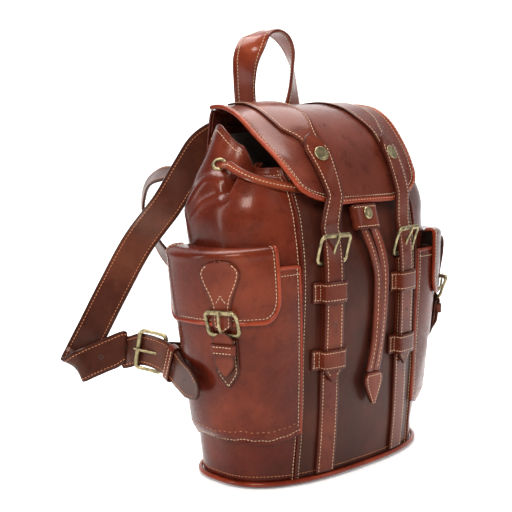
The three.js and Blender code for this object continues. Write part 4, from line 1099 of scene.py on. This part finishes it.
def closing_grid(sign):
    upper = [z for z in np.linspace(STRAP_TOP, 264, 40)]
    lower = [z for z in np.linspace(238, STRAP_TIP, 90)]
    w = np.linspace(-0.5, 0.5, 13)
    rows = []
    for z in upper:
        d = STRAP_TOP - z
        ogee = 0.04 + 0.96 * min(1.0, d / 13) ** 0.6
        x = sign * (RIVET_X + d * 0.03) + w * STRAP_WIDTH * ogee
        point, _ = on_flap(flap_length(x, np.full(13, z)), x, CLOSING_LIFT)
        rows.append(point)
    for z in lower:
        tip = 0.08 + 0.92 * smooth(z - STRAP_TIP, -2, 13) ** 0.8
        rows.append(on_front(sign * STRAP_X + w * STRAP_WIDTH * tip, np.full(13, z), CLOSING_OUT))
    rows = np.array(rows)
    made = [centripetal(rows[:, k], np.linspace(0, 1, 170)) for k in range(13)]
    return np.stack(made, 1)


# Near-black suede for the punched holes: painted shade inside them, not the leather's colour.
make_suede("painted_hole_shade", (0.012, 0.007, 0.006))


def pits(name, places, body, radius=1.7):
    """Punched holes: shallow wells with a pressed rim, painted near black as painted shade inside the hole,
    one piece for a strap.
    """
    parts = []
    sides = 16
    t = np.linspace(0, 2 * math.pi, sides + 1)[:-1]
    for at, out in places:
        out = unit(out)
        a = unit(np.cross(out, vec(0.2, 0.1, 0.97)))
        b = np.cross(out, a)
        profile = [[0.02, -0.5], [radius * 0.9, -0.3], [radius, 0.05], [radius * 1.22, 0.14],
                   [radius * 1.4, -0.3], [0.02, -0.7]]
        rings = np.stack([at + out * h + (a * np.cos(t)[:, None] + b * np.sin(t)[:, None]) * r for r,
                          h in profile])
        index = np.arange(rings.shape[0] * sides).reshape(rings.shape[0], sides)
        parts.append((rings.reshape(-1, 3), grid_faces(np.vstack([index, index[:1]]), wrap=True)))
    verts, faces = joined(parts)
    return add(name, verts, faces, "painted_hole_shade", body)


def resampled_grid(rows, count):
    """A grid through rows of points, at evenly spaced places down its middle column."""
    fine = np.stack([centripetal(rows[:, k], np.linspace(0, 1, 6 * count)) for k in range(rows.shape[1])], 1)
    s = lengths_along(fine[:, rows.shape[1] // 2])
    at = np.linspace(0, s[-1], count)
    flat = fine.reshape(len(fine), -1)
    return np.stack([np.interp(at, s, flat[:, k]) for k in range(flat.shape[1])], 1).reshape(count,
        rows.shape[1], 3)


def face_sign(grid, row, way):
    return 1 if np.dot(grid_normals(grid)[row, grid.shape[1] // 2], way) > 0 else -1


def make_front():
    for side, sign in SIDES:
        x = sign * STRAP_X
        blend = ("flap", f"closing_strap_{side}", (sign * 0.0505, -0.058, 0.282),
                 (sign * 0.0525, -0.066, 0.252))
        grid = closing_grid(sign)
        add_shell(f"closing_strap_leather_{side}", grid, STRAP_LEATHER, "strap",
                  nodes=(f"closing_strap_{side}",),
                  slot="strap_leather", blend=blend)
        group = (f"stitches_closing_{side}", "cream_thread", None, blend)
        way = face_sign(grid, 120, vec(0, -1, 0))
        sew_edges(group, grid, STRAP_LEATHER, inset=2.3, side=way, rows=slice(9, 166))
        places = []
        for z in CLOSING_HOLES:
            at = on_front(x, z, CLOSING_OUT + STRAP_LEATHER / 2 + 0.1)
            places.append((at, unit(at - on_front(x, z, 0))))
        pits(f"closing_strap_holes_{side}", places, f"closing_strap_{side}")

        z = np.linspace(9, LOWER_STRAP_TOP, 90)
        w = np.linspace(-0.5, 0.5, 11)
        zz, ww = np.meshgrid(z, w, indexing="ij")
        grid = on_front(x + ww * STRAP_WIDTH, zz, GAP + 1.3)
        add_shell(f"front_strap_leather_{side}", grid, 2.4, "strap", "bag", nodes=(f"front_strap_{side}",),
                  slot="strap_leather")
        sew_edges(CREAM_BAG, grid, 2.4, inset=2.2, side=face_sign(grid, 40, vec(0, -1, 0)))

        for level, height in KEEPER_HEIGHTS.items():
            raised = CLOSING_OUT + STRAP_LEATHER / 2 + 1 + KEEPER_LEATHER / 2
            profile = np.array([
                [-1, 1.6], [-0.84, 1.5], [-0.67, 1.7], [-0.60, 3.6], [-0.57, raised - 1.8],
                [-0.5, raised - 0.1], [-0.25, raised + 0.15],
                [0.25, raised + 0.15], [0.5, raised - 0.1], [0.57, raised - 1.8], [0.60, 3.6], [0.67, 1.7],
                [0.84, 1.5], [1, 1.6]])
            line = centripetal(np.column_stack([profile, 0 * profile[:, 0]]), np.linspace(0, 1, 90))[:, :2]
            v = np.linspace(-0.5, 0.5, 9)
            half = KEEPER_HALF_WIDTH - 1.5
            dx = np.broadcast_to(line[:, :1] * half, (90, 9))
            grid = on_front(x + dx, height + np.broadcast_to(v * KEEPER_HEIGHT, (90, 9)),
                            np.broadcast_to(line[:, 1:], (90, 9)))
            add_shell(f"{level}_keeper_leather_{side}", grid, KEEPER_LEATHER, "strap", "bag",
                      nodes=(f"{level}_keeper_{side}",),
                      slot="strap_leather")
            way = face_sign(grid, 45, vec(0, -1, 0))
            sew_edges(CREAM_BAG, grid, KEEPER_LEATHER, inset=2.2, side=way, pitch=3.4, length=2.5)
            normals = grid_normals(grid) * way
            for k in (4, 15, 74, 85):
                stitches(CREAM_BAG, grid[k, 1:-1] + normals[k, 1:-1] * 0.95, normals[k, 1:-1], pitch=3.0,
                         length=2.3)


make_front()

# ---- Buckles ----


def placed(points, place):
    at, up, out = place
    side = np.cross(up, out)
    p = np.asarray(points, float)
    return at + p[..., :1] * side + p[..., 1:2] * up + p[..., 2:3] * out


def rounded_frame(width, low, high, corner, per_corner=8):
    """The centre line of a buckle's frame, round at its corners."""
    points = []
    for cx, cy, start in ((width / 2 - corner, low + corner, -90), (width / 2 - corner, high - corner, 0),
                          (-width / 2 + corner, high - corner, 90), (-width / 2 + corner, low + corner, 180)):
        for a in np.radians(np.linspace(start, start + 90, per_corner)):
            points.append([cx + corner * math.cos(a), cy + corner * math.sin(a), 0])
    points = np.array(points)
    closed = np.vstack([points, points[:1]])
    return resample(closed, 121)[:-1]


def make_buckle(kind, side, size, place, frame_body, prong_body):
    width, height, bar = size["width"], size["height"], size["bar"]
    thickness = BUCKLE_THICKNESS[kind]
    path = rounded_frame(width - bar, 0, height - bar, 4.5)
    bow = np.sin(np.clip(path[:, 1] / (height - bar), 0, 1) * math.pi)
    path[:, 2] = -0.5 * bow
    on_side = smooth(np.abs(path[:, 0]), width / 2 - bar, width / 2 - bar / 2) * bow
    shrink = 1 - 0.22 * on_side
    section = ellipse(bar / 2, thickness / 2, 14, 0.85)[None] * shrink[:, None, None]
    verts, faces = sweep(placed(path, place), section, np.tile(place[2], (len(path), 1)), closed=True)
    add(f"{kind}_buckle_frame_{side}", verts, faces, "brass", frame_body, nodes=(f"{kind}_{side}_buckle",),
        slot="brass")

    reach = width / 2 - bar - 0.8
    radius = thickness / 2 + 0.75
    xs = [-reach, -reach, -reach + 0.4, -reach + 1.2, reach - 1.2, reach - 0.4, reach, reach]
    radii = [radius - 0.7, radius - 0.1, radius + 0.12, radius, radius, radius + 0.12, radius - 0.1,
             radius - 0.7]
    a = np.linspace(0, 2 * math.pi, 29)[:-1]
    rings = np.stack([np.stack([np.full(28, x), height - bar + r * np.cos(a), r * np.sin(a)], 1) for x,
                      r in zip(xs, radii)])
    index = np.arange(rings.shape[0] * 28).reshape(rings.shape[0], 28)
    add(f"{kind}_buckle_roller_{side}", placed(rings.reshape(-1, 3), place),
        grid_faces(np.vstack([index, index[:1]]), wrap=True),
        "brass", frame_body)

    far, arch = height - bar, size["arch"]
    route = np.array([[0, 2.6, 0.6], [0, 3.8, 0.9], [0, 0.3 * far, 0.8 + 0.9 * arch],
                      [0, 0.6 * far, 1.4 + 1.1 * arch],
                      [0, 0.84 * far, 3.0 + 0.4 * arch], [0, far + 1.6, 3.6], [0, far + 3.2, 3.1]])
    path = resample(centripetal(route, np.linspace(0, 1, 200)), 60)
    taper = np.interp(np.linspace(0, 1, 60), [0, 0.1, 0.8, 1], [1.75, 1.5, 1.2, 0.85])
    section = ellipse(1.0, 0.9, 12)[None] * taper[:, None, None]
    tongue = sweep(placed(path, place), section, np.tile(place[2], (60, 1)))
    a = np.linspace(0, 2 * math.pi, 33)[:-1]
    loop = np.stack([0 * a, (bar / 2 + 0.75) * np.cos(a), (thickness / 2 + 0.75) * np.sin(a)], 1)
    ring = sweep(placed(loop, place), ellipse(2.1, 0.55, 10, 0.7), placed(loop, place) - place[0],
                 closed=True)
    verts, faces = joined([tongue, ring])
    add(f"{kind}_prong_{side}", verts, faces, "brass", prong_body, nodes=(f"{kind}_{side}_prong",),
        slot="brass")


for side, sign in SIDES:
    make_buckle("front", side, FRONT_BUCKLE, front_buckle(sign), f"front_{side}_buckle",
                f"front_{side}_prong")

# ---- The drawcord's toggle ----


def make_toggle():
    a = np.linspace(0, 2 * math.pi, 73)[:-1]
    c, s = np.cos(a), np.sin(a)
    waist = 1 - 0.42 * np.exp(-((np.abs(c)) / 0.35) ** 2)
    x = 16.4 * np.sign(c) * np.abs(c) ** 0.5
    y = 4.1 * np.sign(s) * np.abs(s) ** 0.7
    grid = []
    for h in np.linspace(-11, 11, 25):
        low = smooth(-h, 3, 11)
        grid.append(np.stack([x, y * (1 - (1 - waist) * 0.5 * low), np.full(len(a), h)], 1))
    grid = np.array(grid)
    turn = math.radians(-16)
    rotate = np.array([[1, 0, 0], [0, math.cos(turn), -math.sin(turn)], [0, math.sin(turn), math.cos(turn)]])
    at = vec(TOGGLE_X, -67.4, 244)
    grid = grid @ rotate.T + at
    add_shell("toggle_leather", grid, 2.0, "strap", "toggle", wrap=True, nodes=("cord_toggle",),
              slot="trim_leather")
    out = rotate @ vec(0, -1, 0)
    turned_ring("toggle_stud", rotate @ vec(0, -5.3, 3) + at, out, [
        [0, -0.3], [4.6, -0.3], [5.6, 0.1], [5.8, 0.7], [5.2, 1.5], [3.8, 2.1], [1.8, 2.4], [0, 2.45]],
        "brass", "toggle",
        nodes=("toggle_rivet",), slot="brass")
    front = (s < -0.2)
    order = np.argsort(x[front])
    for row in (2, 22):
        line = grid[row][front][order]
        stitches(TOGGLE_THREAD, line + out * 1.05, np.tile(out, (len(line), 1)), pitch=3.4, length=2.4)


make_toggle()

# ---- Side pockets ----


def on_pocket(deg, z, out=0.0, worn=0.0):
    deg, z = np.broadcast_arrays(np.asarray(deg, float), np.asarray(z, float))
    away = deg - POCKET["middle"]
    w = np.minimum(1, np.where(away > 0, away / POCKET["front"], -away / POCKET["back"]))
    round_low = np.sqrt(np.maximum(0, 1 - np.maximum(0, 1 - (z - POCKET["bottom"]) / 12) ** 2))
    round_low = np.where(z < POCKET["bottom"], 0, round_low)
    full = np.clip((z - POCKET["bottom"]) / (POCKET["top"] - POCKET["bottom"]), 0, 1)
    bulge = POCKET["low_bulge"] + (POCKET["bulge"] - POCKET["low_bulge"]) * np.sin(full * math.pi / 2)
    fall = 1 - np.maximum(w, 0) ** np.where(away > 0, 1.4, 2.2)
    extra = worn * pocket_creases(deg, z) * fall * round_low if worn else 0
    return on_body(deg, z, GAP + LEATHER / 2 + bulge * fall * round_low + extra + out)


def pocket_creases(deg, z):
    a = np.radians(deg)
    slack = 0.9 * np.sin(z * 0.055 + 3 * a) * np.sin(9 * a + z * 0.018)
    slack += 0.7 * np.sin(z * 0.11 + 14 * a + 1.2 * np.sin(z * 0.05)) * smooth(150 - z, 0, 90)
    slack -= 1.6 * bump(z - (deg - 200) * 0.9, 96, 5) * smooth(deg, 190, 215)
    slack -= 1.3 * bump(z + (deg - 165) * 0.8, 118, 6) * (1 - smooth(deg, 168, 186))
    return slack


def on_pocket_flap(deg, z, out=0.0):
    deg, z = np.broadcast_arrays(np.asarray(deg, float), np.asarray(z, float))
    low = np.minimum(z, POCKET["top"])
    reach = np.linalg.norm(on_pocket(deg, low) - on_body(deg, low), axis=-1)
    return on_body(deg, z, reach + LEATHER + FLAP_OVER_POCKET + out)


def flap_line(z, columns):
    corner, bottom = POCKET_FLAP["corner"] + 5, POCKET_FLAP["bottom"]
    inset = corner - math.sqrt(max(0.0, corner ** 2 - max(0, bottom + corner - z) ** 2))
    trimmed = min(inset, corner - 2) * DEGREES_PER_MM
    return np.linspace(POCKET_FLAP["from"] + trimmed, POCKET_FLAP["to"] - trimmed, columns)


def pocket_flap_rows(out, columns=49):
    top, bottom = POCKET_FLAP["hinge_z"], POCKET_FLAP["bottom"]
    rows = []
    for part, rise in ((0, -1.2), (0.4, 0.2), (0.8, 0), (1, -3)):
        deg = flap_line(top, columns)
        z = np.full(columns, top + rise)
        start = on_body(deg, z, LEATHER / 2 + GAP + out)
        rows.append(start * (1 - part) + on_pocket_flap(deg, z, out) * part)
    for z in [*np.linspace(top - 10, bottom + 21, 6), bottom + 14, bottom + 8, bottom + 4, bottom + 1.6,
              bottom + 0.4, bottom]:
        deg = flap_line(z, columns)
        rows.append(on_pocket_flap(deg, np.full(columns, z), out))
    return np.array(rows)


def flip(grid, sign):
    return grid * [-sign, 1, 1]


def pocket_buckle_place(sign):
    angle = POCKET_STRAP_ANGLE
    bar = on_pocket(angle, POCKET_BUCKLE_BAR, 4.2)
    reach = POCKET_BUCKLE["height"] - POCKET_BUCKLE["bar"]
    lift = STRAP_LEATHER + 0.6 + BUCKLE_THICKNESS["pocket"] / 2
    far = on_pocket_flap(angle, POCKET_BUCKLE_BAR + reach * 0.88, LEATHER / 2 + 2 * GAP + lift)
    up = unit(far - bar)
    out = unit(bar - on_pocket(angle, POCKET_BUCKLE_BAR))
    across = unit(np.cross(vec(0, 0, 1), out))
    m = vec(-sign, 1, 1)
    return (bar * m, up * m, np.cross(across, up) * m), across, out


def make_pocket(side, sign):
    deg = np.linspace(POCKET["middle"] - POCKET["back"], POCKET["middle"] + POCKET["front"], 90)
    v = np.linspace(0, 1, 100)
    ripple = 0.9 * np.sin(np.radians(deg * 13)) + 0.5 * np.sin(np.radians(deg * 31))
    z = (44.5 + ripple)[None] * (1 - v[:, None]) + POCKET["top"] * v[:, None]
    z += 2.5 * (1 - v[:, None]) * smooth(deg, 224, 236)[None] * 2
    deg2 = np.broadcast_to(deg, z.shape)
    grid = flip(on_pocket(deg2, z, worn=1), sign)
    add_shell(f"pocket_leather_{side}", grid, LEATHER, "pocket", "bag", nodes=(f"pocket_body_{side}",),
              slot="brown_leather")
    inner = flip(on_pocket(deg2[12:, 3:-3], z[12:, 3:-3], -1.45, worn=1), sign)
    add_shell(f"pocket_lining_{side}", inner, 0.6, "suede", "bag")
    normals = grid_normals(grid)
    normals *= np.sign((normals[50, 40] @ vec(sign, 0, 0)))
    for path, n in ((grid[3], normals[3]), (grid[5:, 2], normals[5:, 2]), (grid[5:, -3], normals[5:, -3]),
                    (grid[-5], normals[-5])):
        stitches(CREAM_BAG, path + n * 1.15, n)
    stitches(ORANGE_BAG, grid[8] + normals[8] * 1.15, normals[8], pitch=5.2, length=2.2)
    rim = np.vstack([grid[0:-1, 0], grid[-1], grid[-1:0:-1, -1]])
    rim_n = np.vstack([normals[0:-1, 0], normals[-1], normals[-1:0:-1, -1]])
    rim, rim_n = resample(rim, 300, rim_n)
    add_sweep(f"pocket_binding_{side}", rim, ellipse(1.9, 1.75, 12, 0.9), "trim", "bag", rim_n)

    body = f"pocket_flap_{side}"
    thread = (f"stitches_pocket_flap_{side}", "cream_thread", body, None)
    top = flip(resampled_grid(pocket_flap_rows(0.25), 90), sign)
    add_shell(f"pocket_flap_leather_{side}", top, 1.6, "pocket", body, nodes=(f"pocket_flap_{side}",),
              slot="brown_leather")
    under = flip(resampled_grid(pocket_flap_rows(-0.85), 60), sign)[4:-1, 2:-2]
    add_shell(f"pocket_flap_lining_{side}", under, 0.6, "suede", body)
    fn = grid_normals(top)
    fn *= np.sign(fn[50, 24] @ vec(sign, 0, 0))
    edge = np.vstack([top[8:-1, 0], top[-1], top[-1:7:-1, -1]])
    edge_n = np.vstack([fn[8:-1, 0], fn[-1], fn[-1:7:-1, -1]])
    edge, edge_n = resample(edge, 240, edge_n)
    add_sweep(f"pocket_flap_binding_{side}", edge, ellipse(2.0, 1.8, 12, 0.9), "trim", body, edge_n)
    t = unit(np.gradient(edge, axis=0))
    inward = unit(np.cross(edge_n, t))
    inward *= np.sign(np.sum(inward * (top[45, 24] - edge), 1, keepdims=True))
    stitches(thread, edge + inward * 3.6 + edge_n * 0.85, edge_n)

    angle = POCKET_STRAP_ANGLE
    place, across, out = pocket_buckle_place(sign)
    lift = 4.6 + BUCKLE_THICKNESS["pocket"] / 2 + 0.5 + STRAP_LEATHER / 2
    w = np.linspace(-0.5, 0.5, 13)
    rows = []
    for height in np.linspace(215.5, 158.5, 40):
        width = POCKET_STRAP_WIDTH + 21 * smooth(height, 174, 206)
        width *= math.sqrt(max(0.02, 1 - (max(0.0, height - 204) / 11.7) ** 2))
        face = on_pocket_flap(angle - w * width * DEGREES_PER_MM, np.full(13, height),
                              LEATHER / 2 + 2 * GAP + STRAP_LEATHER / 2)
        rows.append(face)
    for height in [146, 139, 131, *np.linspace(POCKET_STRAP_TIP + 14, POCKET_STRAP_TIP, 12)]:
        width = POCKET_STRAP_WIDTH * (0.08 + 0.92 * float(smooth(height - POCKET_STRAP_TIP, -2, 13)) ** 0.8)
        rows.append(on_pocket(angle, height, lift) + across * (w * width)[:, None])
    grid = resampled_grid(np.array(rows), 150)
    grid = flip(grid, sign)
    add_shell(f"pocket_strap_leather_{side}", grid, STRAP_LEATHER - 0.4, "strap", body,
              nodes=(f"pocket_strap_{side}",),
              slot="strap_leather")
    way = face_sign(grid, 70, vec(sign, 0, 0))
    sew_edges(thread, grid, STRAP_LEATHER - 0.4, inset=2.2, side=way, rows=slice(5, 145), pitch=3.5,
              length=2.6)
    normals = grid_normals(grid) * way
    k = 44
    chevron = [grid[k + 9, 3], grid[k, 6], grid[k + 9, 9]]
    line = np.vstack([np.linspace(chevron[0], chevron[1], 6), np.linspace(chevron[1], chevron[2], 6)[1:]])
    stitches(thread, line + normals[k, 6] * 1.3, np.tile(normals[k, 6], (len(line), 1)), pitch=3.0,
             length=2.2)
    pits(f"pocket_strap_holes_{side}", [(grid[128, 6] + normals[128, 6] * 1.3, normals[128, 6])], body, 1.4)

    z = np.linspace(101, POCKET_BUCKLE_BAR - 4, 60)
    middle = on_pocket(angle, z, LEATHER / 2 + GAP + 1.2)
    width = 21 * (0.1 + 0.9 * smooth(z, 99, 117) ** 0.8)
    grid = flip(middle[:, None] + across * (np.linspace(-0.5, 0.5, 9)[None, :] * width[:, None])[..., None],
                sign)
    add_shell(f"pocket_lower_strap_leather_{side}", grid, 2.2, "shoulder", "bag",
              nodes=(f"pocket_lower_strap_{side}",),
              slot="strap_leather")
    sew_edges(CREAM_BAG, grid, 2.2, inset=1.8, side=face_sign(grid, 30, vec(sign, 0, 0)), pitch=3.6)
    at = on_pocket(angle, POCKET_KEEPER_HEIGHT, lift + 0.3)
    make_loop(f"pocket_keeper_leather_{side}", flip(at, sign), across * vec(-sign, 1, 1),
              out * vec(-sign, 1, 1), vec(0, 0, 1),
              POCKET_STRAP_WIDTH / 2 + 1.8, 3.1, 9, f"pocket_keeper_{side}")
    make_buckle("pocket", side, POCKET_BUCKLE, place, f"pocket_{side}_buckle", f"pocket_{side}_prong")


def make_loop(name, at, across, out, up, half_width, half_depth, height, node):
    a = np.linspace(0, 2 * math.pi, 65)[:-1]
    c, s = np.cos(a), np.sin(a)
    ring = (at + across * (half_width * np.sign(c) * np.abs(c) ** 0.4)[:, None]
            + out * (half_depth * np.sign(s) * np.abs(s) ** 0.4)[:, None])
    grid = np.array([ring + up * h for h in np.linspace(-height / 2, height / 2, 9)])
    add_shell(name, grid, 1.6, "strap", "bag", wrap=True, nodes=(node,), slot="strap_leather")
    for h in (-height / 2 + 1.8, height / 2 - 1.8):
        front = [at + across * (x * half_width) + out * (half_depth + 0.85) + up * h
                 for x in np.linspace(-0.82, 0.82, 12)]
        stitches(CREAM_BAG, np.array(front), np.tile(out, (12, 1)), pitch=3.2, length=2.3, radius=0.36)


for side, sign in SIDES:
    make_pocket(side, sign)

# ---- Handle and shoulder straps ----

HANDLE_PLACES = [
    [[-28, 67, 338], [0, -1, 0]], [[-28, 68, 350], [0, -1, 0]], [[-28, 69.5, 372], [-0.05, -1, 0]],
    [[-26, 69.5, 394], [-0.3, -0.9, 0.1]], [[-17, 69.5, 410], [-0.7, -0.5, 0.5]],
    [[-5, 69.5, 420], [-0.3, 0, 1]],
    [[9, 69.5, 424], [0, 0, 1]], [[23, 69.5, 420], [0.5, -0.1, 0.9]], [[35, 69.5, 408], [0.9, -0.4, 0.4]],
    [[41, 69.5, 390], [0.7, -0.7, 0.1]], [[43, 69.5, 370], [0.5, -0.85, 0]], [[41, 68, 350], [0.2, -1, 0]],
    [[38, 67, 338], [0, -1, 0]]]
STRAP_END = [
    [[-158, 102, 113], [0.85, 0.4, -0.2]], [[-153, 82, 118], [0.95, 0.3, 0]],
    [[-148.5, 60, 115], [0.95, 0.31, 0]],
    [[-150.5, 42, 110.5], [0.98, 0.1, 0]], [[-156.5, 23, 104.5], [0.98, -0.15, 0]],
    [[-161, 3, 98], [0.97, -0.2, 0]],
    [[-163, -9, 94], [0.93, -0.36, 0]]]
LEFT_STRAP = [
    [[-50, 72, 320], [0, -1, 0]], [[-66, 72, 318], [-0.1, -1, 0.05]], [[-83, 73.5, 308], [-0.35, -0.9, 0.1]],
    [[-95, 80, 287], [-0.6, -0.75, 0.1]], [[-109, 94, 254], [-0.7, -0.7, 0.12]],
    [[-136, 107, 216], [-0.7, -0.7, 0.12]],
    [[-157, 120, 172], [-0.7, -0.7, 0.12]], [[-174, 131, 133], [-0.7, -0.7, 0.12]]]
RIGHT_STRAP = [
    [[62, 72, 320], [0, -1, 0]], [[40, 73.5, 317], [-0.1, -1, 0.2]], [[0, 86, 302], [-0.3, -0.8, 0.6]],
    [[-34, 112, 289], [-0.3, -0.5, 0.8]], [[-57, 141, 281], [-0.3, -0.2, 0.9]],
    [[-60, 170, 276], [-0.6, 0.3, 0.7]],
    [[-56, 193, 260], [-0.8, 0.5, 0.3]], [[-53, 201, 241], [-0.8, 0.6, 0]],
    [[-49, 198, 222], [-0.8, 0.5, -0.3]],
    [[-42, 190, 202], [-0.8, 0.3, -0.5]], [[-32, 180, 182], [-0.75, 0.1, -0.6]],
    [[-15, 165, 158], [-0.6, 0.3, -0.7]],
    [[20, 144, 128], [-0.3, 0.7, -0.6]], [[60, 128, 112], [-0.2, 1, -0.2]], [[105, 117, 108], [-0.2, 1, 0]],
    [[142, 107, 112], [-0.6, 0.8, 0]]]
FOLD_AT = vec(-186, 140, 104)
FOLD_RUN = unit(vec(-0.36, 0.27, -0.89))
FOLD_FACE = unit(vec(-0.7, -0.7, 0.12))
FOLD_TURN, FOLD_RADIUS = 70, 6


def folded_place(length):
    crease = turn_about(FOLD_RUN, FOLD_FACE, FOLD_TURN)
    beyond = unit(np.cross(FOLD_FACE, crease))
    if np.dot(beyond, FOLD_RUN) < 0:
        beyond = -beyond
    across, along = np.dot(beyond, FOLD_RUN) * length, np.dot(crease, FOLD_RUN) * length
    turned = min(max(across / FOLD_RADIUS, 0), math.pi)
    rest = across if across < 0 else -max(0, across - math.pi * FOLD_RADIUS)
    middle = (FOLD_AT + crease * along + beyond * (FOLD_RADIUS * math.sin(turned) + rest)
              + FOLD_FACE * (FOLD_RADIUS * (1 - math.cos(turned))))
    return [middle, FOLD_FACE * math.cos(turned) - beyond * math.sin(turned)]


def ribbon_grid(places, width, count, taper=None, columns=11):
    """A ribbon through places that each give a middle and the way its face looks."""
    middles = np.array([p[0] for p in places], float)
    faces = np.array([p[1] for p in places], float)
    before = middles[np.maximum(np.arange(len(middles)) - 1, 0)]
    after = middles[np.minimum(np.arange(len(middles)) + 1, len(middles) - 1)]
    across = unit(np.cross(after - before, faces))
    low = centripetal(middles - across * width / 2, np.linspace(0, 1, 8 * count))
    high = centripetal(middles + across * width / 2, np.linspace(0, 1, 8 * count))
    mid, low, high = resample((low + high) / 2, count, low, high)
    half = (high - low) / 2
    k = 1 if taper is None else taper(np.linspace(0, 1, count))[:, None]
    w = np.linspace(-1, 1, columns)
    return mid[:, None] + (half * k)[:, None] * w[None, :, None]


def make_handle():
    grid = ribbon_grid(HANDLE_PLACES, HANDLE_WIDTH, 150)
    add_shell("handle_leather", grid, HANDLE_THICKNESS - 0.8, "handle", "handle", nodes=("top_handle",),
              slot="trim_leather")
    for side in (1, -1):
        sew_edges(HANDLE_THREAD, grid, HANDLE_THICKNESS, inset=2.4, side=side)


def make_shoulder_strap(side, sign, places):
    m = vec(-sign, 1, 1)
    end = [[vec(*at) * m, vec(*face) * m * -sign] for at, face in STRAP_END]

    def tip(t):
        return np.minimum(1, np.sqrt(np.maximum(0, 1 - t) * 14) + 0.25)

    grid = ribbon_grid([*places, *end], SHOULDER_WIDTH, 420, tip)
    add_shell(f"shoulder_strap_leather_{side}", grid, SHOULDER_THICKNESS, "shoulder", "bag",
              nodes=(f"shoulder_strap_{side}",),
              slot="brown_leather")
    for face in (1, -1):
        sew_edges(ORANGE_BAG, grid, SHOULDER_THICKNESS, inset=2.4, side=face, rows=slice(2, 415), radius=0.38)
    s = lengths_along(grid[:, 5])
    normals = grid_normals(grid)
    holes = []
    for back in np.arange(24, 190, 25):
        k = int(np.searchsorted(s, s[-1] - back))
        for face in (1, -1):
            holes.append((grid[k, 5] + normals[k, 5] * face * (SHOULDER_THICKNESS / 2 + 0.05),
                          normals[k, 5] * face))
    pits(f"shoulder_strap_holes_{side}", holes, "bag", 1.7)

    before, through, after = (end[k][0] for k in (1, 2, 3))
    run = unit(after - before)
    out = end[2][1] * sign
    outward = unit(out - run * np.dot(out, run))
    bar = through - outward * (STRAP_LEATHER / 2 + BUCKLE_THICKNESS["shoulder"] / 2 + 1)
    place = tilted(bar, -run, outward, SHOULDER_BUCKLE_TILT)
    make_buckle("shoulder", side, SHOULDER_BUCKLE, place, "bag", "bag")
    loop_run = unit(end[4][0] - end[2][0])
    loop_across = unit(np.cross(loop_run, end[3][1]))
    make_loop(f"shoulder_keeper_leather_{side}", end[3][0], loop_across,
              unit(np.cross(loop_run, loop_across)), loop_run,
              SHOULDER_WIDTH / 2 + 2.4, 4, 9, f"shoulder_keeper_{side}")

    width = unit(np.cross(run, outward)) * -sign
    t, w = np.meshgrid(np.linspace(0, 1, 40), np.linspace(0, 1, 17), indexing="ij")
    seam = on_body(138, 121 + (54 - 121) * w, 1.8) * m
    start = bar + width * ((w - 0.5) * 27)[..., None] + run * 4.6
    grid = start * (1 - t)[..., None] + seam * t[..., None]
    add_shell(f"strap_anchor_leather_{side}", grid, 2.4, "shoulder", "bag", nodes=(f"strap_anchor_{side}",),
              slot="dark_leather")
    for face in (1, -1):
        sew_edges(ORANGE_BAG, grid, 2.4, inset=2.2, side=face)


make_handle()
make_shoulder_strap("left", LEFT, [*LEFT_STRAP, *(folded_place(d) for d in np.linspace(-18, 66, 8))])
make_shoulder_strap("right", RIGHT, RIGHT_STRAP)
sew_all()

# ---- Floor and light ----


def make_floor():
    tree, shader, at = new_material("floor")
    cloud = noise(tree, at, 3.0, 3)
    tree.links.new(ramp(tree, cloud, [(0.3, (0.90, 0.90, 0.90)), (0.7, (0.93, 0.93, 0.93))]),
                   shader.inputs["Base Color"])
    shader.inputs["Roughness"].default_value = 0.9
    shader.inputs["Specular IOR Level"].default_value = 0.1
    shader.inputs["Emission Color"].default_value = (1, 1, 1, 1)
    shader.inputs["Emission Strength"].default_value = 0.25
    mesh = bpy.data.meshes.new("floor")
    reach, back, rise, radius = 3.0, 1.6, 3.0, 0.8
    profile = [(-reach, 0.0), (back - radius, 0.0)]
    for a in np.radians(np.linspace(-90, 0, 13)[1:]):
        profile.append((back - radius + radius * math.cos(a), radius + radius * math.sin(a)))
    profile.append((back, rise))
    way, side = vec(0.72, 0.69, 0), vec(0.69, -0.72, 0)
    verts = [tuple(way * d + side * s + vec(0, 0, h - 0.0001)) for s in (-4.0, 4.0) for d, h in profile]
    n = len(profile)
    mesh.from_pydata(verts, [], [(i, i + 1, n + i + 1, n + i) for i in range(n - 1)])
    mesh.polygons.foreach_set("use_smooth", np.ones(n - 1, bool))
    paint(mesh, "floor")
    floor = bpy.data.objects.new("floor", mesh)
    bpy.context.scene.collection.objects.link(floor)


def area_light(name, at, target, size, power, color=(1, 1, 1), height=None):
    data = bpy.data.lights.new(name, "AREA")
    data.shape = "RECTANGLE"
    data.size = size
    data.size_y = height or size
    data.energy = power
    data.color = color
    light = bpy.data.objects.new(name, data)
    bpy.context.scene.collection.objects.link(light)
    light.location = at
    light.rotation_mode = "QUATERNION"
    light.rotation_quaternion = (Vector(target) - Vector(at)).to_track_quat("-Z", "Y")


make_floor()
area_light("key", (-1.2, -0.9, 1.35), (0, 0, 0.2), 0.6, 30, (1, 0.98, 0.95))
area_light("side", (-1.6, 0.55, 0.70), (0, 0, 0.18), 0.30, 11, height=1.3)
area_light("top", (0.2, 0.3, 1.7), (0, 0, 0.2), 1.1, 40)
area_light("right", (1.0, -1.5, 0.8), (0, 0, 0.2), 0.5, 6, height=1.2)
world = bpy.data.worlds.new("studio")
world.use_nodes = True
world.node_tree.nodes["Background"].inputs["Color"].default_value = (0.92, 0.94, 1.0, 1)
world.node_tree.nodes["Background"].inputs["Strength"].default_value = 0.22
bpy.context.scene.world = world
bpy.context.scene.view_settings.view_transform = "Standard"
